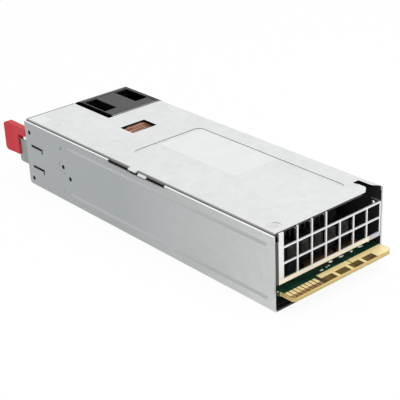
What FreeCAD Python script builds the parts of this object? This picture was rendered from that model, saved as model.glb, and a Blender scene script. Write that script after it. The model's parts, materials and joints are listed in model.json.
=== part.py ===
import FreeCAD, Part
import math
import os

# Hot swap server power supply module, 1U high. Millimetres, +Z up.
# The origin is at the middle of the case's underside. The front face, with the inlet, fan and latch,
# looks along -Y. The card edge leaves the rear face along +Y. The latch is on the +X side.

V = FreeCAD.Vector

# ---- screws and plain holes, faceted ----
hole_sides = 12
screw_sides = 10
screw_fit = 0.05
case_head_d = 4.2
case_screw_d = 2.4
case_screw_len = 3.4
fan_head_d = 5.0
fan_screw_d = 3.0
fan_screw_len = 4.2
board_head_d = 4.8
board_head_h = 1.6
board_screw_d = 2.4
board_thread = 4.0      # depth of the screw's hole in its post

# ---- case ----
body_width = 73.5
body_height = 40.0
body_length = 203.0
sheet = 1.0
bend_r = 1.5            # outside radius of a bend in the sheet
seam = 0.3              # gap between the two case halves and round what they hold
wall_drop = 0.8         # the right wall's top edge lies this far under the cover's top
corner_r = 3.0          # rounded lower front corner of the right wall
return_height = 6.5     # tray's return flange inside the cover's wall
lap_gap = 0.1
cover_foot = 0.4        # cover's wall ends this far above the resting face
cover_flange = 3.4      # cover's flange inside the right wall

# ---- cover details ----
recess_left = 12.25     # recess edges from the sides and ends of the case
recess_right = 14.15
recess_front = 81.7
recess_rear = 12.0
recess_depth = 0.3
recess_r = 4.0
hook_front = 96.7       # front end of the hook tabs behind the case's front edge
hook_inset = 0.1        # hook tabs inside the case's outer faces
hook_len = 6.2
hook_gap = 1.6
hook_drop = 0.9
top_notch_front = 79.5  # shallow notch in the top of the right wall round the hook tabs
top_notch_len = 46.5
top_notch_depth = 1.6
cover_rear_inset = 1.0
cover_strip = 3.7       # strip of the cover beside the rear left corner opening
corner_open_len = 12.6  # length of that opening along the case
corner_open_w = 4.5     # its width at the front end
corner_tongue = 8.1     # distance from the strip to the cover's rear tongue
dimple_side = 9.05      # dimple's middle from the case's right side
dimple_front = 22.2
dimple_depth = 0.3
dimple_d = 2.2

# ---- side wall details ----
slit_front = 5.2        # front end of the slits behind the case's front edge
slit_len = 11.4
slit_h = 1.5
relief_d = 1.6          # small round hole under each slit's rear end
relief_below = 1.6
side_hole_inset = 4.3
side_hole_z0 = 4.9
side_hole_top = 6.9     # upper hole under the cover's top
screw_hole_d = 2.6
ring_hole_ahead = 3.1   # ring hole in front of the latch pin
ring_hole_z = 21.5
ring_d = 8.0
ring_depth = 0.2
tool_hole_behind = 3.1
tool_hole_z = 16.1
weld_ahead = 3.8
weld_z0 = 6.8
weld_top = 7.6
weld_d = 1.6
bead_front = 41.5       # bead's front end behind the case's front edge
bead_rear = 4.5
bead_z0 = 6.4
bead_top = 6.0
bead_w = 1.6
bead_depth = 0.12

foot_screw_front = 44.0 # behind the case's front edge
foot_screw_rear = 18.0  # in front of its rear edge
foot_screw_z = 4.0
rear_screw_side = 7.25  # from the case's right side
rear_screw_inset = 7.0
rear_ring_d = 7.0

# ---- rear grille ----
cell_columns = 7
cell_rows = 2
bar_w = 0.9
grille_t = 0.7
grille_bottom = 13.5
grille_border = 2.3     # lower border's height
grille_side = 4.85      # border beside the right wall, with its bend
grille_bend = 1.9       # outside radius of that bend
grille_lip = 0.3        # grille's upper edge under the cover's top face
top_row_less = 0.8      # the top row of cells is lower by this
grille_left = 1.0       # border beside the left wall
grille_flange = 6.0     # depth of the flanges welded to the walls
grille_top_flange = 10.0
open_columns = 4        # columns of the top row that are one wide opening

# ---- front panel ----
panel_foot = 0.3
fan_room = 1.4          # space over the fan
fan_depth = 28.0
fan_side_room = 2.75    # space between the fan and the case half's seam
fan_hole_edge = 2.75    # fan hole's centre from the fan's edges
comb_w = 5.0            # honeycomb hole across its flats
comb_bar = 1.0
lug_len = 7.5
panel_flange = 5.5
latch_slot_w = 3.7
latch_slot_z0 = 9.6
latch_slot_z1 = 27.6
light_below = 3.4       # light's middle under the inlet's top plate
light_d = 3.0
light_len = 10.0

# ---- fan ----
fan_flange = 3.3
fan_corner = 1.8        # bevel of the flanges' corners
bore_wall = 1.1         # fan's wall at its thinnest
tip_gap = 0.6
hub_r = 8.2
hub_len = 19.0
hub_wall = 1.2
blade_count = 7
blade_chord_tip = 10.5
blade_chord_hub = 9.0
blade_pitch_tip = 32.0
blade_pitch_hub = 52.0
blade_t = 0.9
hub_sides = 28
bore_sides = 36
base_t = 1.4            # thickness of the motor's base
shaft_d = 2.0
tube_r = 3.6
tube_len = 16.0
rotor_back = 3.0        # hub's end in front of the fan's rear face
hub_cap = 1.4
strut_w = 1.6

# ---- AC inlet ----
inlet_lap = 4.3         # the housing's top plate reaches this far over the fan
inlet_gap = 1.0         # gap between that edge and the cover
inlet_depth = 34.0
inlet_plate_t = 2.4
inlet_fan_gap = 0.4
inlet_seam = 0.15       # housing inside the cover's wall
inlet_z0 = 1.3
socket_z = 17.0
socket_rim = 3.5        # housing beside the socket's mouth
socket_h = 17.2
socket_depth = 17.0
socket_chamfer = 4.5
socket_wall = 1.6
socket_back = 2.0       # wall behind the socket's pocket
well_wall = 0.9
blade_pin_w = 2.0
blade_pin_h = 4.0
blade_pin_len = 24.0
blade_pin_inset = 5.5
pin_side = 5.3          # live pins from the sides of the socket
earth_rise = 4.0
well_w = 8.7
well_len = 20.5
well_depth = 8.5
well_left = 3.1         # left well from the case's left side
well_right = 3.75       # right well from the plate's right edge
well_front = 3.6
groove_w = 0.8
groove_depth = 0.6
groove_inset = 2.4

# ---- latch ----
latch_t = 0.6
latch_gap = 0.25
latch_reach = 20.0      # latch plate's front end ahead of the case
pin_behind = 39.3       # latch pin behind the case's front edge
pin_d = 2.0
pin_fit = 0.03
knuckle_r = 1.7
tooth_t = 0.6
tooth_out = 0.7
tooth_z0 = 12.7
tooth_z1 = 25.4
tooth_len = 6.6
latch_neck = 3.3        # how much the plate narrows on each side towards its pin
tab_reach = 22.5        # tab's front end ahead of the case
tab_z0 = 15.5
tab_z1 = 33.2
tab_t = 3.5
tab_flare = 0.9
tab_len = 13.4
tab_arm_gap = 1.5       # space between the tab's arm and the case
tab_arm_z = 28.4
bracket_z0 = 4.4
bracket_top = 0.8       # bracket's upper end under the cover's flange
bracket_ahead = 7.8
bracket_behind = 5.8
bracket_t = 0.8
bracket_gap = 0.35
bracket_ear_tip = 2.2   # half width of the bracket's ears at their ends
bracket_ear_root = 3.5  # and where they leave the bracket
latch_taper_y0 = 12.5   # where the plate starts to narrow, behind the slits' front end
latch_taper_y1 = 20.5
spring_w = 5.0
spring_t = 0.25
spring_len = 18.0
spring_ahead = 0.45     # spring's middle ahead of the fan's rear, in fan depths
spring_end_gap = 0.05   # between its ends and the latch plate
spring_bow_gap = 0.07   # between its middle and the fan

# ---- handle ----
bail_t = 2.2            # thickness of the stamped handle
bail_w = 3.0            # width of its legs and bar
stub_d = 2.2
stub_fit = 0.05
bail_left = 17.3        # handle's outer edges from the fan's axis
bail_right = 14.9
bail_z0 = 10.3
bail_z1 = 32.0
bail_r = 5.0
bail_out = 2.6          # handle's middle in front of the panel
ear_t = 1.0
ear_gap = 0.3

# ---- main board ----
board_t = 2.2
board_top = 9.4
board_side_gap = 1.05   # board's edge inside the seam line
board_setback = 46.5    # board's front edge behind the case's front edge
tongue_len = 9.0
tip_chamfer = 2.0
tongue_inset = 2.0      # tongue's right edge inside the board's
tip_bevel = 0.6
pad_t = 0.1
pad_inset = 0.3
finger_count = 8
finger_pitch = 2.5
finger_w = 1.9
finger_start = 2.0      # fingers start this far behind the case's rear face
power_left_w = 23.7     # left power pad and its margin
power_gap = 0.6
power_finger_gap = 2.4
power_start = 0.8
standoff_d = 5.0        # across the flats
standoff_inset = 4.9    # standoff's axis from the board's side edge
standoff_front = 7.0    # front pair behind the board's front edge
standoff_room = 1.0     # middle pair's axis behind the capacitors
standoff_rear = 21.5    # rear pair in front of the case's rear edge
film_t = 0.4
film_edge = 1.6

# ---- choke under the cover's window ----
choke_x = -2.0
choke_behind = 56.3     # choke's middle behind the case's front edge
choke_sink = 0.2        # choke's top under the cover's top face
choke_hole_r = 5.4
choke_w = 10.6
choke_base_t = 1.2
choke_flange_t = 1.2
choke_flange_drop = 1.1 # core's flanges lie this far inside the coil's outer turns
choke_wires = 5         # turns side by side on the coil
choke_rib = 0.45        # depth of the grooves between turns
choke_sides = 24
choke_lead_d = 1.6
choke_lead_x = 5.2
choke_lead_rise = 2.6   # leads' upper ends above the coil's underside
choke_base_w = 24.0
choke_base_edge = 5.0   # base's length beyond the coil's width
choke_base_rim = 2.4    # base's upper face above the coil's underside
window_w = 16.8
window_clear = 0.4

# ---- parts beside and behind the choke ----
film_gap = 1.3          # film capacitor from the choke
film_edge_gap = 1.0     # and from the board's edge
film_behind = 7.0
film_l = 9.0
film_h = 19.0
y_cap_gap = 1.15
y_cap_l = 8.0
y_cap_h = 8.5
y_cap_pitch = 10.0
fuse_w = 5.4
fuse_body_w = 4.6
fuse_l = 20.0
fuse_cap_l = 5.0
fuse_gap = 1.0          # fuse from the Y capacitors
fuse_screw_gap = 0.6
fuse_ahead = 8.0        # fuse's front end in front of the choke's middle
relay_w = 12.5
relay_l = 16.0
relay_h = 16.0
relay_edge = 2.65
relay_behind = 23.2
boost_w = 20.0
boost_l = 9.0
boost_h = 18.0
boost_edge = 1.4
boost_behind = 32.0
boost_coil_w = 13.0
boost_coil_l = 17.0
boost_coil_z = 3.0
boost_coil_h = 12.0
plate_behind = 19.2     # rectifier's heat sink behind the choke's middle
plate_relay_gap = 1.25
plate_boost_gap = 2.0
plate_t = 2.4
plate_h = 24.0
plate_fins = 6
plate_fin_l = 6.4
plate_fin_z = 6.0
plate_fin_pitch = 3.4
rectifier_inset = 2.0
rectifier_t = 3.8
rectifier_h = 21.0
rectifier_leg_w = 1.2
rectifier_leg_t = 0.8
rectifier_leg_side = 3.5

# ---- capacitors, transformer and output stage ----
cap_gap = 1.6
cap_edge = 2.8          # outer capacitors from the board's edge
cap_headroom = 2.1
cap_behind = 107.5      # capacitors' row behind the case's front edge
cap_shift = 5.0         # the right capacitor stands further back, behind the second choke
core_w = 26.0
core_l = 21.0
core_h = 24.0
core_x = 13.5
core_ahead = 57.5       # transformer's middle in front of the case's rear edge
core_yoke = 4.0
core_cheek = 3.6        # thickness of the core's sides
coil_r = 9.4
inductor_x = 4.0
inductor_w = 14.0
inductor_l = 7.0
inductor_h = 15.0
inductor_coil_w = 9.0
inductor_coil_l = 9.6
inductor_coil_z = 3.2
inductor_coil_h = 8.6
inductor_gap = 1.2      # between its coil and the transformer
sink_fins = 7
sink_fin_t = 1.0
sink_base_t = 2.5
sink_l = 34.0
sink_headroom = 4.6
sink_w = 13.0
sink_x = -14.5
transistor_count = 3
transistor_pitch = 11.2
transistor_w = 10.0
transistor_z = 4.0
transistor_h = 9.2
transistor_t = 4.6
transistor_tab_h = 15.5
transistor_tab_t = 1.3
leg_pitch = 2.54
leg_w = 0.8
leg_t = 0.7
standby_edge = 1.65
standby_core_w = 9.0
standby_core_l = 12.0
standby_core_h = 11.0
standby_w = 11.5
standby_l = 8.0
standby_z = 1.6
standby_h = 7.8
standby_ahead = 4.0     # in front of the spreader's middle
spread_l = 12.0
spread_h = 18.0
spread_base_t = 3.0
spread_ahead = 27.5
spread_fins = 14
spread_screw_gap = 1.1
spread_standby_gap = 2.25
out_cap_d = 8.0
out_cap_h = 13.0
out_cap_count = 6
out_cap_pitch = 9.2
out_cap_ahead = 14.5    # output capacitors in front of the case's rear edge
bus_gap = 1.0
bus_l = 2.5
bus_h = 3.0
bus_inset = 8.0
card_inset = 1.2
card_t = 1.2
card_l = 46.0
card_h = 24.0
card_notch_l = 8.0
card_notch_h = 3.0
chip_t = 1.2
chips = ((-12.0, 12.0, 9.0, 9.0), (12.0, 13.0, 7.0, 5.0), (18.0, 5.0, 4.0, 4.0))

# ---- worked out from the sizes above ----
half_w = body_width / 2
front_y = -body_length / 2
rear_y = body_length / 2
inner_x = half_w - sheet
roof = body_height - sheet
wall_top = body_height - wall_drop
floor_front = front_y + corner_r + sheet
flange_x = inner_x - seam
board_bottom = board_top - board_t
slit_y0 = front_y + slit_front
recess_x0 = -half_w + recess_left
recess_x1 = half_w - recess_right
recess_y0 = front_y + recess_front
recess_y1 = rear_y - recess_rear
hook_y0 = front_y + hook_front
top_notch_y0 = front_y + top_notch_front
dimple_x = half_w - dimple_side
dimple_y = front_y + dimple_front
rear_screw_x = half_w - rear_screw_side
side_hole_z1 = body_height - side_hole_top
weld_z1 = body_height - weld_top
bead_z1 = body_height - bead_top
side_hole_y = front_y + side_hole_inset
bead_y0 = front_y + bead_front
bead_y1 = rear_y - bead_rear
tip_y = rear_y + tongue_len
fan_y0 = front_y + sheet
fan_y1 = fan_y0 + fan_depth
panel_top = roof - seam
fan_size = panel_top - panel_foot - sheet - fan_room
fan_x = flange_x - fan_side_room - fan_size / 2
fan_z = panel_foot + sheet + fan_size / 2
fan_hole_pitch = fan_size - 2 * fan_hole_edge
bore_r = fan_size / 2 - bore_wall
barrel_r = bore_r + bore_wall - 0.2
latch_slot_x = flange_x - latch_slot_w
fan_left = fan_x - fan_size / 2
inlet_x0 = -flange_x + inlet_seam
inlet_x1 = fan_left - inlet_fan_gap
inlet_plate_x1 = fan_left + inlet_lap
plate_z = body_height - inlet_plate_t
socket_w = inlet_x1 - inlet_x0 - 2 * socket_rim
pin_spread = socket_w - 2 * pin_side
light_z = plate_z - light_below
bail_x0 = fan_x - bail_left
bail_x1 = fan_x + bail_right
bracket_z1 = roof - cover_flange - bracket_top
socket_x = (inlet_x0 + inlet_x1) / 2
light_x = socket_x
grille_x1 = flange_x - seam + lap_gap
grille_x0 = -inner_x + seam
cell_w = (grille_x1 - grille_x0 - grille_side - grille_left - (cell_columns - 1) * bar_w) / cell_columns
cell_h = (panel_top + top_row_less - grille_bottom - grille_border - cell_rows * bar_w) / (cell_rows + 1)
pin_y = front_y + pin_behind
latch_front = front_y - latch_reach
tab_front = front_y - tab_reach
tab_rear = tab_front + tab_len
tab_arm_rear = front_y - tab_arm_gap
bracket_y0 = pin_y - bracket_ahead
bracket_y1 = pin_y + bracket_behind
weld_y = pin_y - weld_ahead
ring_hole_y = pin_y - ring_hole_ahead
tool_hole_y = pin_y + tool_hole_behind
board_half_w = flange_x - board_side_gap
board_front = front_y + board_setback
standoff_x = board_half_w - standoff_inset
choke_y = front_y + choke_behind
choke_r = (body_height - choke_sink - board_top - choke_base_t) / 2
choke_z = board_top + choke_base_t + choke_r
cap_y = front_y + cap_behind
cap_pitch = (2 * (board_half_w - cap_edge) + cap_gap) / 3
cap_d = cap_pitch - cap_gap
cap_h = roof - board_top - cap_headroom
standoff_mid_y = cap_y + cap_shift + cap_d / 2 + standoff_room
standoff_ys = [board_front + standoff_front, standoff_mid_y, rear_y - standoff_rear]
core_y = rear_y - core_ahead
sink_y = core_y
sink_h = roof - board_top - sink_headroom
film_x0 = -board_half_w + film_edge_gap
film_x1 = choke_x - choke_r - film_gap
fuse_x1 = standoff_x - board_head_d / 2 - fuse_screw_gap
fuse_y0 = choke_y - fuse_ahead
relay_x0 = -board_half_w + relay_edge
boost_x1 = board_half_w - boost_edge
plate_x0 = relay_x0 + relay_w + plate_relay_gap
plate_x1 = boost_x1 - boost_w - plate_boost_gap
plate_y0 = choke_y + plate_behind
standby_x0 = -board_half_w + standby_edge
spread_x0 = standby_x0 + standby_w + spread_standby_gap
spread_x1 = standoff_x - board_head_d / 2 - spread_screw_gap
power_split_x = -board_half_w + power_left_w
tongue_x1 = board_half_w - tongue_inset
finger_last = tongue_x1 - pad_inset
pad_cut = tip_chamfer - tip_bevel
power_edge_x = finger_last - (finger_count - 1) * finger_pitch - finger_w - power_finger_gap
out_cap_y = rear_y - out_cap_ahead
spread_y = rear_y - spread_ahead
card_x = -board_half_w + card_inset
web_x1 = inner_x - latch_gap
web_x0 = web_x1 - latch_t
pin_x = web_x1 - knuckle_r
bail_y = front_y - bail_out


def box(x0, x1, y0, y1, z0, z1):
    return Part.makeBox(x1 - x0, y1 - y0, z1 - z0, V(x0, y0, z0))


def block(cx, cy, z0, w, l, h):
    return box(cx - w / 2, cx + w / 2, cy - l / 2, cy + l / 2, z0, z0 + h)


def polygon(r, sides, x, y, z, axis):
    """Regular polygon of radius r square to the axis, with its corners on the circle."""
    across = V(axis[1], axis[2], axis[0])
    up = V(*axis).cross(across)
    points = []
    for k in range(sides):
        a = 2 * math.pi * (k + 0.5) / sides
        points.append(V(x, y, z) + across * (r * math.cos(a)) + up * (r * math.sin(a)))
    return points


def rod(r, x, y, z, length, axis, sides=0):
    """Round rod, or a prism where sides is given."""
    if sides == 0:
        return Part.makeCylinder(r, length, V(x, y, z), V(*axis))
    points = polygon(r, sides, x, y, z, axis)
    return Part.Face(Part.makePolygon(points + [points[0]])).extrude(V(*axis) * length)


def skin(rings, flat):
    """Closed solid over rings of the same number of points. flat says the sides between rings are plane."""
    faces = []
    count = len(rings[0])
    for low, high in zip(rings, rings[1:]):
        for i in range(count):
            j = (i + 1) % count
            if flat:
                patches = [[low[i], low[j], high[j], high[i]]]
            else:
                patches = [[low[i], low[j], high[j]], [low[i], high[j], high[i]]]
            for patch in patches:
                faces.append(Part.Face(Part.makePolygon(patch + [patch[0]])))
    for ring in (rings[0], rings[-1]):
        faces.append(Part.Face(Part.makePolygon(ring + [ring[0]])))
    solid = Part.Solid(Part.Shell(faces))
    if solid.Volume < 0:
        solid.reverse()
    return solid


def taper(r0, r1, x, y, z, length, axis, sides):
    """Faceted cone from radius r0 at x, y, z to r1 at its other end."""
    end = V(x, y, z) + V(*axis) * length
    return skin([polygon(r0, sides, x, y, z, axis), polygon(r1, sides, end.x, end.y, end.z, axis)], True)


def disc_y(r, x, y0, y1, z, sides=0):
    return rod(r, x, y0, z, y1 - y0, (0, 1, 0), sides)


def disc_z(r, x, y, z0, z1, sides=0):
    return rod(r, x, y, z0, z1 - z0, (0, 0, 1), sides)


def disc_x(r, x0, x1, y, z, sides=0):
    return rod(r, x0, y, z, x1 - x0, (1, 0, 0), sides)


def flat_screw(place, head_d, shank_d, length):
    """Countersunk screw, or the hole for it. place is (x, y, z, axis) with the axis going in."""
    x, y, z, axis = place
    head_h = (head_d - shank_d) / 2
    head = taper(head_d / 2, shank_d / 2, x, y, z, head_h, axis, screw_sides)
    into = V(*axis) * head_h
    shank = rod(shank_d / 2, x + into.x, y + into.y, z + into.z, length - head_h, axis, screw_sides)
    return head.fuse(shank)


def flat_hole(place, head_d, shank_d):
    """Cutter for a flat_screw in sheet metal, with the seat a little larger than the head."""
    x, y, z, axis = place
    out = V(*axis) * -0.5
    mouth = rod(head_d / 2 + screw_fit, x + out.x, y + out.y, z + out.z, 0.5, axis, screw_sides)
    return mouth.fuse(flat_screw(place, head_d + 2 * screw_fit, shank_d + 2 * screw_fit, 3.0))


def join(shapes):
    shape = shapes[0].multiFuse(shapes[1:]) if len(shapes) > 1 else shapes[0]
    return shape.removeSplitter()


def group(shapes):
    return Part.makeCompound(shapes)


def rounded_wire(corners, place, closed=True):
    """Line through corners (u, v, radius) with tangent arcs; place turns u, v into a point."""
    turns = []
    count = len(corners)
    for i, (u, v, r) in enumerate(corners):
        here = V(u, v, 0)
        if r <= 0:
            turns.append((here, here, None))
            continue
        before = V(corners[i - 1][0], corners[i - 1][1], 0) - here
        after = V(corners[(i + 1) % count][0], corners[(i + 1) % count][1], 0) - here
        before.normalize()
        after.normalize()
        half = before.getAngle(after) / 2
        reach = r / math.tan(half)
        middle = before + after
        middle.normalize()
        centre = here + middle * (r / math.sin(half))
        turns.append((here + before * reach, here + after * reach, centre - middle * r))
    edges = []
    for i, (start, end, mid) in enumerate(turns):
        if mid is not None:
            edges.append(Part.Arc(place(start), place(mid), place(end)).toShape())
        following = turns[(i + 1) % count][0]
        last = i == count - 1
        if (closed or not last) and (following - end).Length > 1e-6:
            edges.append(Part.makeLine(place(end), place(following)))
    return Part.Wire(edges)


def plate_xy(corners, z0, z1):
    wire = rounded_wire(corners, lambda p: V(p.x, p.y, z0))
    return Part.Face(wire).extrude(V(0, 0, z1 - z0))


def plate_xz(corners, y0, y1):
    wire = rounded_wire(corners, lambda p: V(p.x, y0, p.y))
    return Part.Face(wire).extrude(V(0, y1 - y0, 0))


def plate_yz(corners, x0, x1):
    wire = rounded_wire(corners, lambda p: V(x0, p.x, p.y))
    return Part.Face(wire).extrude(V(x1 - x0, 0, 0))


def rectangle(u0, u1, v0, v1, r):
    return [(u0, v0, r), (u1, v0, r), (u1, v1, r), (u0, v1, r)]


def fillet_along(shape, direction, r, keep):
    """Round the straight edges that run along direction and whose middle passes keep."""
    edges = []
    for edge in shape.Edges:
        if edge.Curve.TypeId != "Part::GeomLine":
            continue
        run = edge.Vertexes[-1].Point - edge.Vertexes[0].Point
        if run.Length < 1e-6 or run.cross(V(*direction)).Length > 1e-6 * run.Length:
            continue
        if keep(edge.CenterOfMass):
            edges.append(edge)
    return shape.makeFillet(r, edges)


def turned(shape, angle, x, z):
    """Copy of a shape made about the Y axis, turned by angle and moved to x, z."""
    copy = shape.copy()
    copy.rotate(V(0, 0, 0), V(0, 1, 0), angle)
    copy.translate(V(x, 0, z))
    return copy


# ------------------------------------------------------------------ case
def wall_holes():
    """Round holes through the right wall, as (y, z). The first two also pass the front panel's lugs."""
    lug_holes = [(side_hole_y, side_hole_z0), (side_hole_y, side_hole_z1)]
    return lug_holes + [(ring_hole_y, ring_hole_z), (tool_hole_y, tool_hole_z)]


def foot_screws():
    """Screws through the cover's left wall into the tray's return flange."""
    places = []
    for y in (front_y + foot_screw_front, rear_y - foot_screw_rear):
        places.append((-half_w, y, foot_screw_z, (1, 0, 0)))
    return places


def rear_screw():
    """Screw through the cover into the grille's upper flange."""
    return rear_screw_x, rear_y - rear_screw_inset, body_height - ring_depth, (0, 0, -1)


def case_screws():
    places = foot_screws() + [rear_screw()]
    return group([flat_screw(place, case_head_d, case_screw_d, case_screw_len) for place in places])


def base_tray():
    return_x = -inner_x + lap_gap
    section = [
        (return_x, 0.0, bend_r),
        (half_w, 0.0, bend_r),
        (half_w, wall_top, 0),
        (inner_x, wall_top, 0),
        (inner_x, sheet, bend_r - sheet),
        (return_x + sheet, sheet, bend_r - sheet),
        (return_x + sheet, return_height, 0),
        (return_x, return_height, 0),
    ]
    tray = plate_xz(section, front_y, rear_y)
    tray = tray.cut(box(-half_w, inner_x, front_y, floor_front, -1, body_height))
    nose = box(inner_x - 1, half_w + 1, front_y, front_y + corner_r, 0, corner_r)
    nose = nose.cut(disc_x(corner_r, inner_x - 1, half_w + 1, front_y + corner_r, corner_r))
    step_y = front_y + inlet_depth + sheet
    cuts = [nose, box(return_x - 1, return_x + bend_r, front_y, step_y, sheet, return_height + 1)]
    y1 = top_notch_y0 + top_notch_len
    cuts.append(box(inner_x - 0.5, half_w + 1, top_notch_y0, y1, wall_top - top_notch_depth, body_height))
    slit_y1 = slit_y0 + slit_len
    relief_y = slit_y1 - relief_d / 2
    for z in (tooth_z0, tooth_z1):
        cuts.append(box(inner_x - 1, half_w + 1, slit_y0, slit_y1, z - slit_h / 2, z + slit_h / 2))
        cuts.append(disc_x(relief_d / 2, inner_x - 1, half_w + 1, relief_y, z - relief_below, hole_sides))
    for y, z in wall_holes():
        cuts.append(disc_x(screw_hole_d / 2, inner_x - 1, half_w + 1, y, z, hole_sides))
    ring_x = half_w - ring_depth
    cuts.append(disc_x(ring_d / 2, ring_x, half_w + 1, ring_hole_y, ring_hole_z, 2 * hole_sides))
    for z in (weld_z0, weld_z1):
        cuts.append(disc_x(weld_d / 2, ring_x, half_w + 1, weld_y, z, hole_sides))
    for z in (bead_z0, bead_z1):
        cuts.append(box(half_w - bead_depth, half_w + 1, bead_y0, bead_y1, z - bead_w / 2, z + bead_w / 2))
    foot_r = case_screw_d / 2 + screw_fit
    for _, y, z, _ in foot_screws():
        cuts.append(disc_x(foot_r, return_x - 1, return_x + sheet + 1, y, z, screw_sides))
    return tray.cut(Part.makeCompound(cuts))


def corner_opening():
    """Hook shaped opening of the cover at the rear left corner."""
    y0 = rear_y - corner_open_len
    strip = -half_w + cover_strip
    outline = [
        (strip, y0, 0.8),
        (strip + corner_open_w, y0, 0.8),
        (strip + corner_open_w - 1.1, y0 + 3.6, 1.5),
        (strip + corner_open_w - 1.1, rear_y - 4.5, 3.5),
        (strip + corner_tongue, rear_y - cover_rear_inset, 1.0),
        (strip + corner_tongue, rear_y + 1, 0),
        (-half_w + 0.5, rear_y + 1, 0),
        (-half_w + 0.5, rear_y - 0.5, 1.0),
        (strip, rear_y - 4.2, 3.0),
    ]
    return plate_xy(outline, roof - 1, body_height + 1)


def hook_tab(root, y0, z1):
    """Tab from the cover's edge over the right wall, rounded along its outer edge."""
    tip = half_w - hook_inset
    tab = box(root, tip, y0, y0 + hook_len, z1 - sheet, z1)
    return fillet_along(tab, (0, 1, 0), sheet * 0.8, lambda c: c.x > root + sheet and c.z > z1 - sheet / 2)


def top_cover():
    section = [
        (-half_w, body_height, bend_r),
        (flange_x, body_height, bend_r),
        (flange_x, roof - cover_flange, 0),
        (flange_x - sheet, roof - cover_flange, 0),
        (flange_x - sheet, roof, bend_r - sheet),
        (-inner_x, roof, bend_r - sheet),
        (-inner_x, cover_foot, 0),
        (-half_w, cover_foot, 0),
    ]
    cover = plate_xz(section, front_y, rear_y)
    hook_z1 = body_height - hook_inset
    cover = join([cover, hook_tab(flange_x - bend_r, hook_y0, hook_z1),
                  hook_tab(flange_x - sheet, hook_y0 + hook_len + hook_gap, hook_z1 - hook_drop)])
    above = body_height + 1
    tongue_x = -half_w + cover_strip + corner_tongue
    cuts = [box(tongue_x, half_w, rear_y - cover_rear_inset, rear_y + 1, 0, above)]
    cuts.append(corner_opening())
    notch_x1 = inlet_plate_x1 + inlet_gap
    notch_y1 = front_y + inlet_depth + lap_gap
    cuts.append(box(-half_w - 1, notch_x1, front_y - 1, notch_y1, plate_z - lap_gap, above))
    half_window = window_w / 2
    half_open = choke_w / 2 + window_clear
    x0 = choke_x - half_window
    x1 = choke_x + half_window
    cuts.append(box(x0, x1, choke_y - half_open, choke_y + half_open, roof - 1, body_height + 1))
    recess = rectangle(recess_x0, recess_x1, recess_y0, recess_y1, recess_r)
    cuts.append(plate_xy(recess, body_height - recess_depth, body_height + 1))
    flange_foot = roof - cover_flange - 1
    lug_x0 = flange_x - sheet - 0.5
    cuts.append(box(lug_x0, flange_x + 0.5, front_y - 1, front_y + lug_len, flange_foot, roof - seam))
    cuts.append(disc_z(dimple_d / 2, dimple_x, dimple_y, body_height - dimple_depth, above, hole_sides))
    for place in foot_screws() + [rear_screw()]:
        cuts.append(flat_hole(place, case_head_d, case_screw_d))
    x, y, z, _ = rear_screw()
    cuts.append(disc_z(rear_ring_d / 2, x, y, z, above, 2 * hole_sides))
    return cover.cut(Part.makeCompound(cuts))


def cell_x0(column):
    """Left edge of a grille column, counted from the right wall."""
    return grille_x1 - grille_side - (column + 1) * cell_w - column * bar_w


def rear_grille():
    """Cell plate behind the cover's rear edge, with flanges under the cover and along both walls."""
    right = grille_x1
    left = grille_x0
    top = body_height - grille_lip
    y0 = rear_y - grille_t
    flange_top = panel_top - cover_flange
    face = box(left, right, y0, rear_y, grille_bottom, top)
    row_z = grille_bottom + grille_border
    cuts = []
    for row in range(cell_rows):
        for column in range(cell_columns):
            x0 = cell_x0(column)
            z0 = row_z + row * (cell_h + bar_w)
            cuts.append(box(x0, x0 + cell_w, y0 - 1, rear_y + 1, z0, z0 + cell_h))
    top_z0 = row_z + cell_rows * (cell_h + bar_w)
    closed = cell_columns - open_columns
    for column in range(closed):
        x0 = cell_x0(column)
        cuts.append(box(x0, x0 + cell_w, rear_y - 4, rear_y + 1, top_z0, top + 1))
    top_x0 = cell_x0(closed) + cell_w
    cuts.append(box(left - 1, top_x0, y0 - 1, rear_y + 1, top_z0, top + 1))
    cuts.append(box(right - grille_bend, right + 1, y0 - 1, rear_y + 1, flange_top, top + 1))
    flange_x1 = right - grille_bend - lap_gap
    flange_y0 = rear_y - grille_flange
    roof_flange = box(top_x0, flange_x1, rear_y - grille_top_flange, rear_y, panel_top - grille_t, panel_top)
    side_r = box(right - grille_t, right, flange_y0, rear_y, grille_bottom, flange_top)
    side_l = box(left, left + grille_t, flange_y0, rear_y, grille_bottom, top_z0)
    grille = join([face, roof_flange, side_r, side_l])
    grille = grille.cut(Part.makeCompound(cuts))
    corner = []
    for edge in grille.Edges:
        middle = edge.CenterOfMass
        if abs(middle.x - right) < 1e-6 and abs(middle.y - rear_y) < 1e-6:
            corner.append(edge)
    grille = grille.makeFillet(grille_bend, corner)
    x, y, z, _ = rear_screw()
    return grille.cut(disc_z(case_screw_d / 2 + screw_fit, x, y, panel_top - 2, z, screw_sides))


def honeycomb():
    """Hexagonal holes in front of the fan, in rows that fill its bore."""
    pitch = comb_w + comb_bar
    corner = comb_w / math.sqrt(3)
    rows = int(bore_r / pitch) + 2
    holes = []
    for row in range(-rows, rows + 1):
        z = fan_z + row * pitch * math.sqrt(3) / 2
        shift = pitch / 2 if row % 2 else 0.0
        for column in range(-rows, rows + 1):
            x = fan_x + column * pitch + shift
            if math.hypot(x - fan_x, z - fan_z) + corner > bore_r:
                continue
            outline = []
            for k in range(6):
                a = math.radians(60 * k + 30)
                outline.append((x + corner * math.cos(a), z + corner * math.sin(a), 0))
            holes.append(plate_xz(outline, front_y - 1, front_y + sheet + 1))
    return holes


def fan_screw_places():
    half = fan_hole_pitch / 2
    places = []
    for sx in (-1, 1):
        for sz in (-1, 1):
            places.append((fan_x + sx * half, front_y, fan_z + sz * half, (0, 1, 0)))
    return places


def fan_screws():
    places = fan_screw_places()
    return group([flat_screw(place, fan_head_d, fan_screw_d, fan_screw_len) for place in places])


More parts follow.
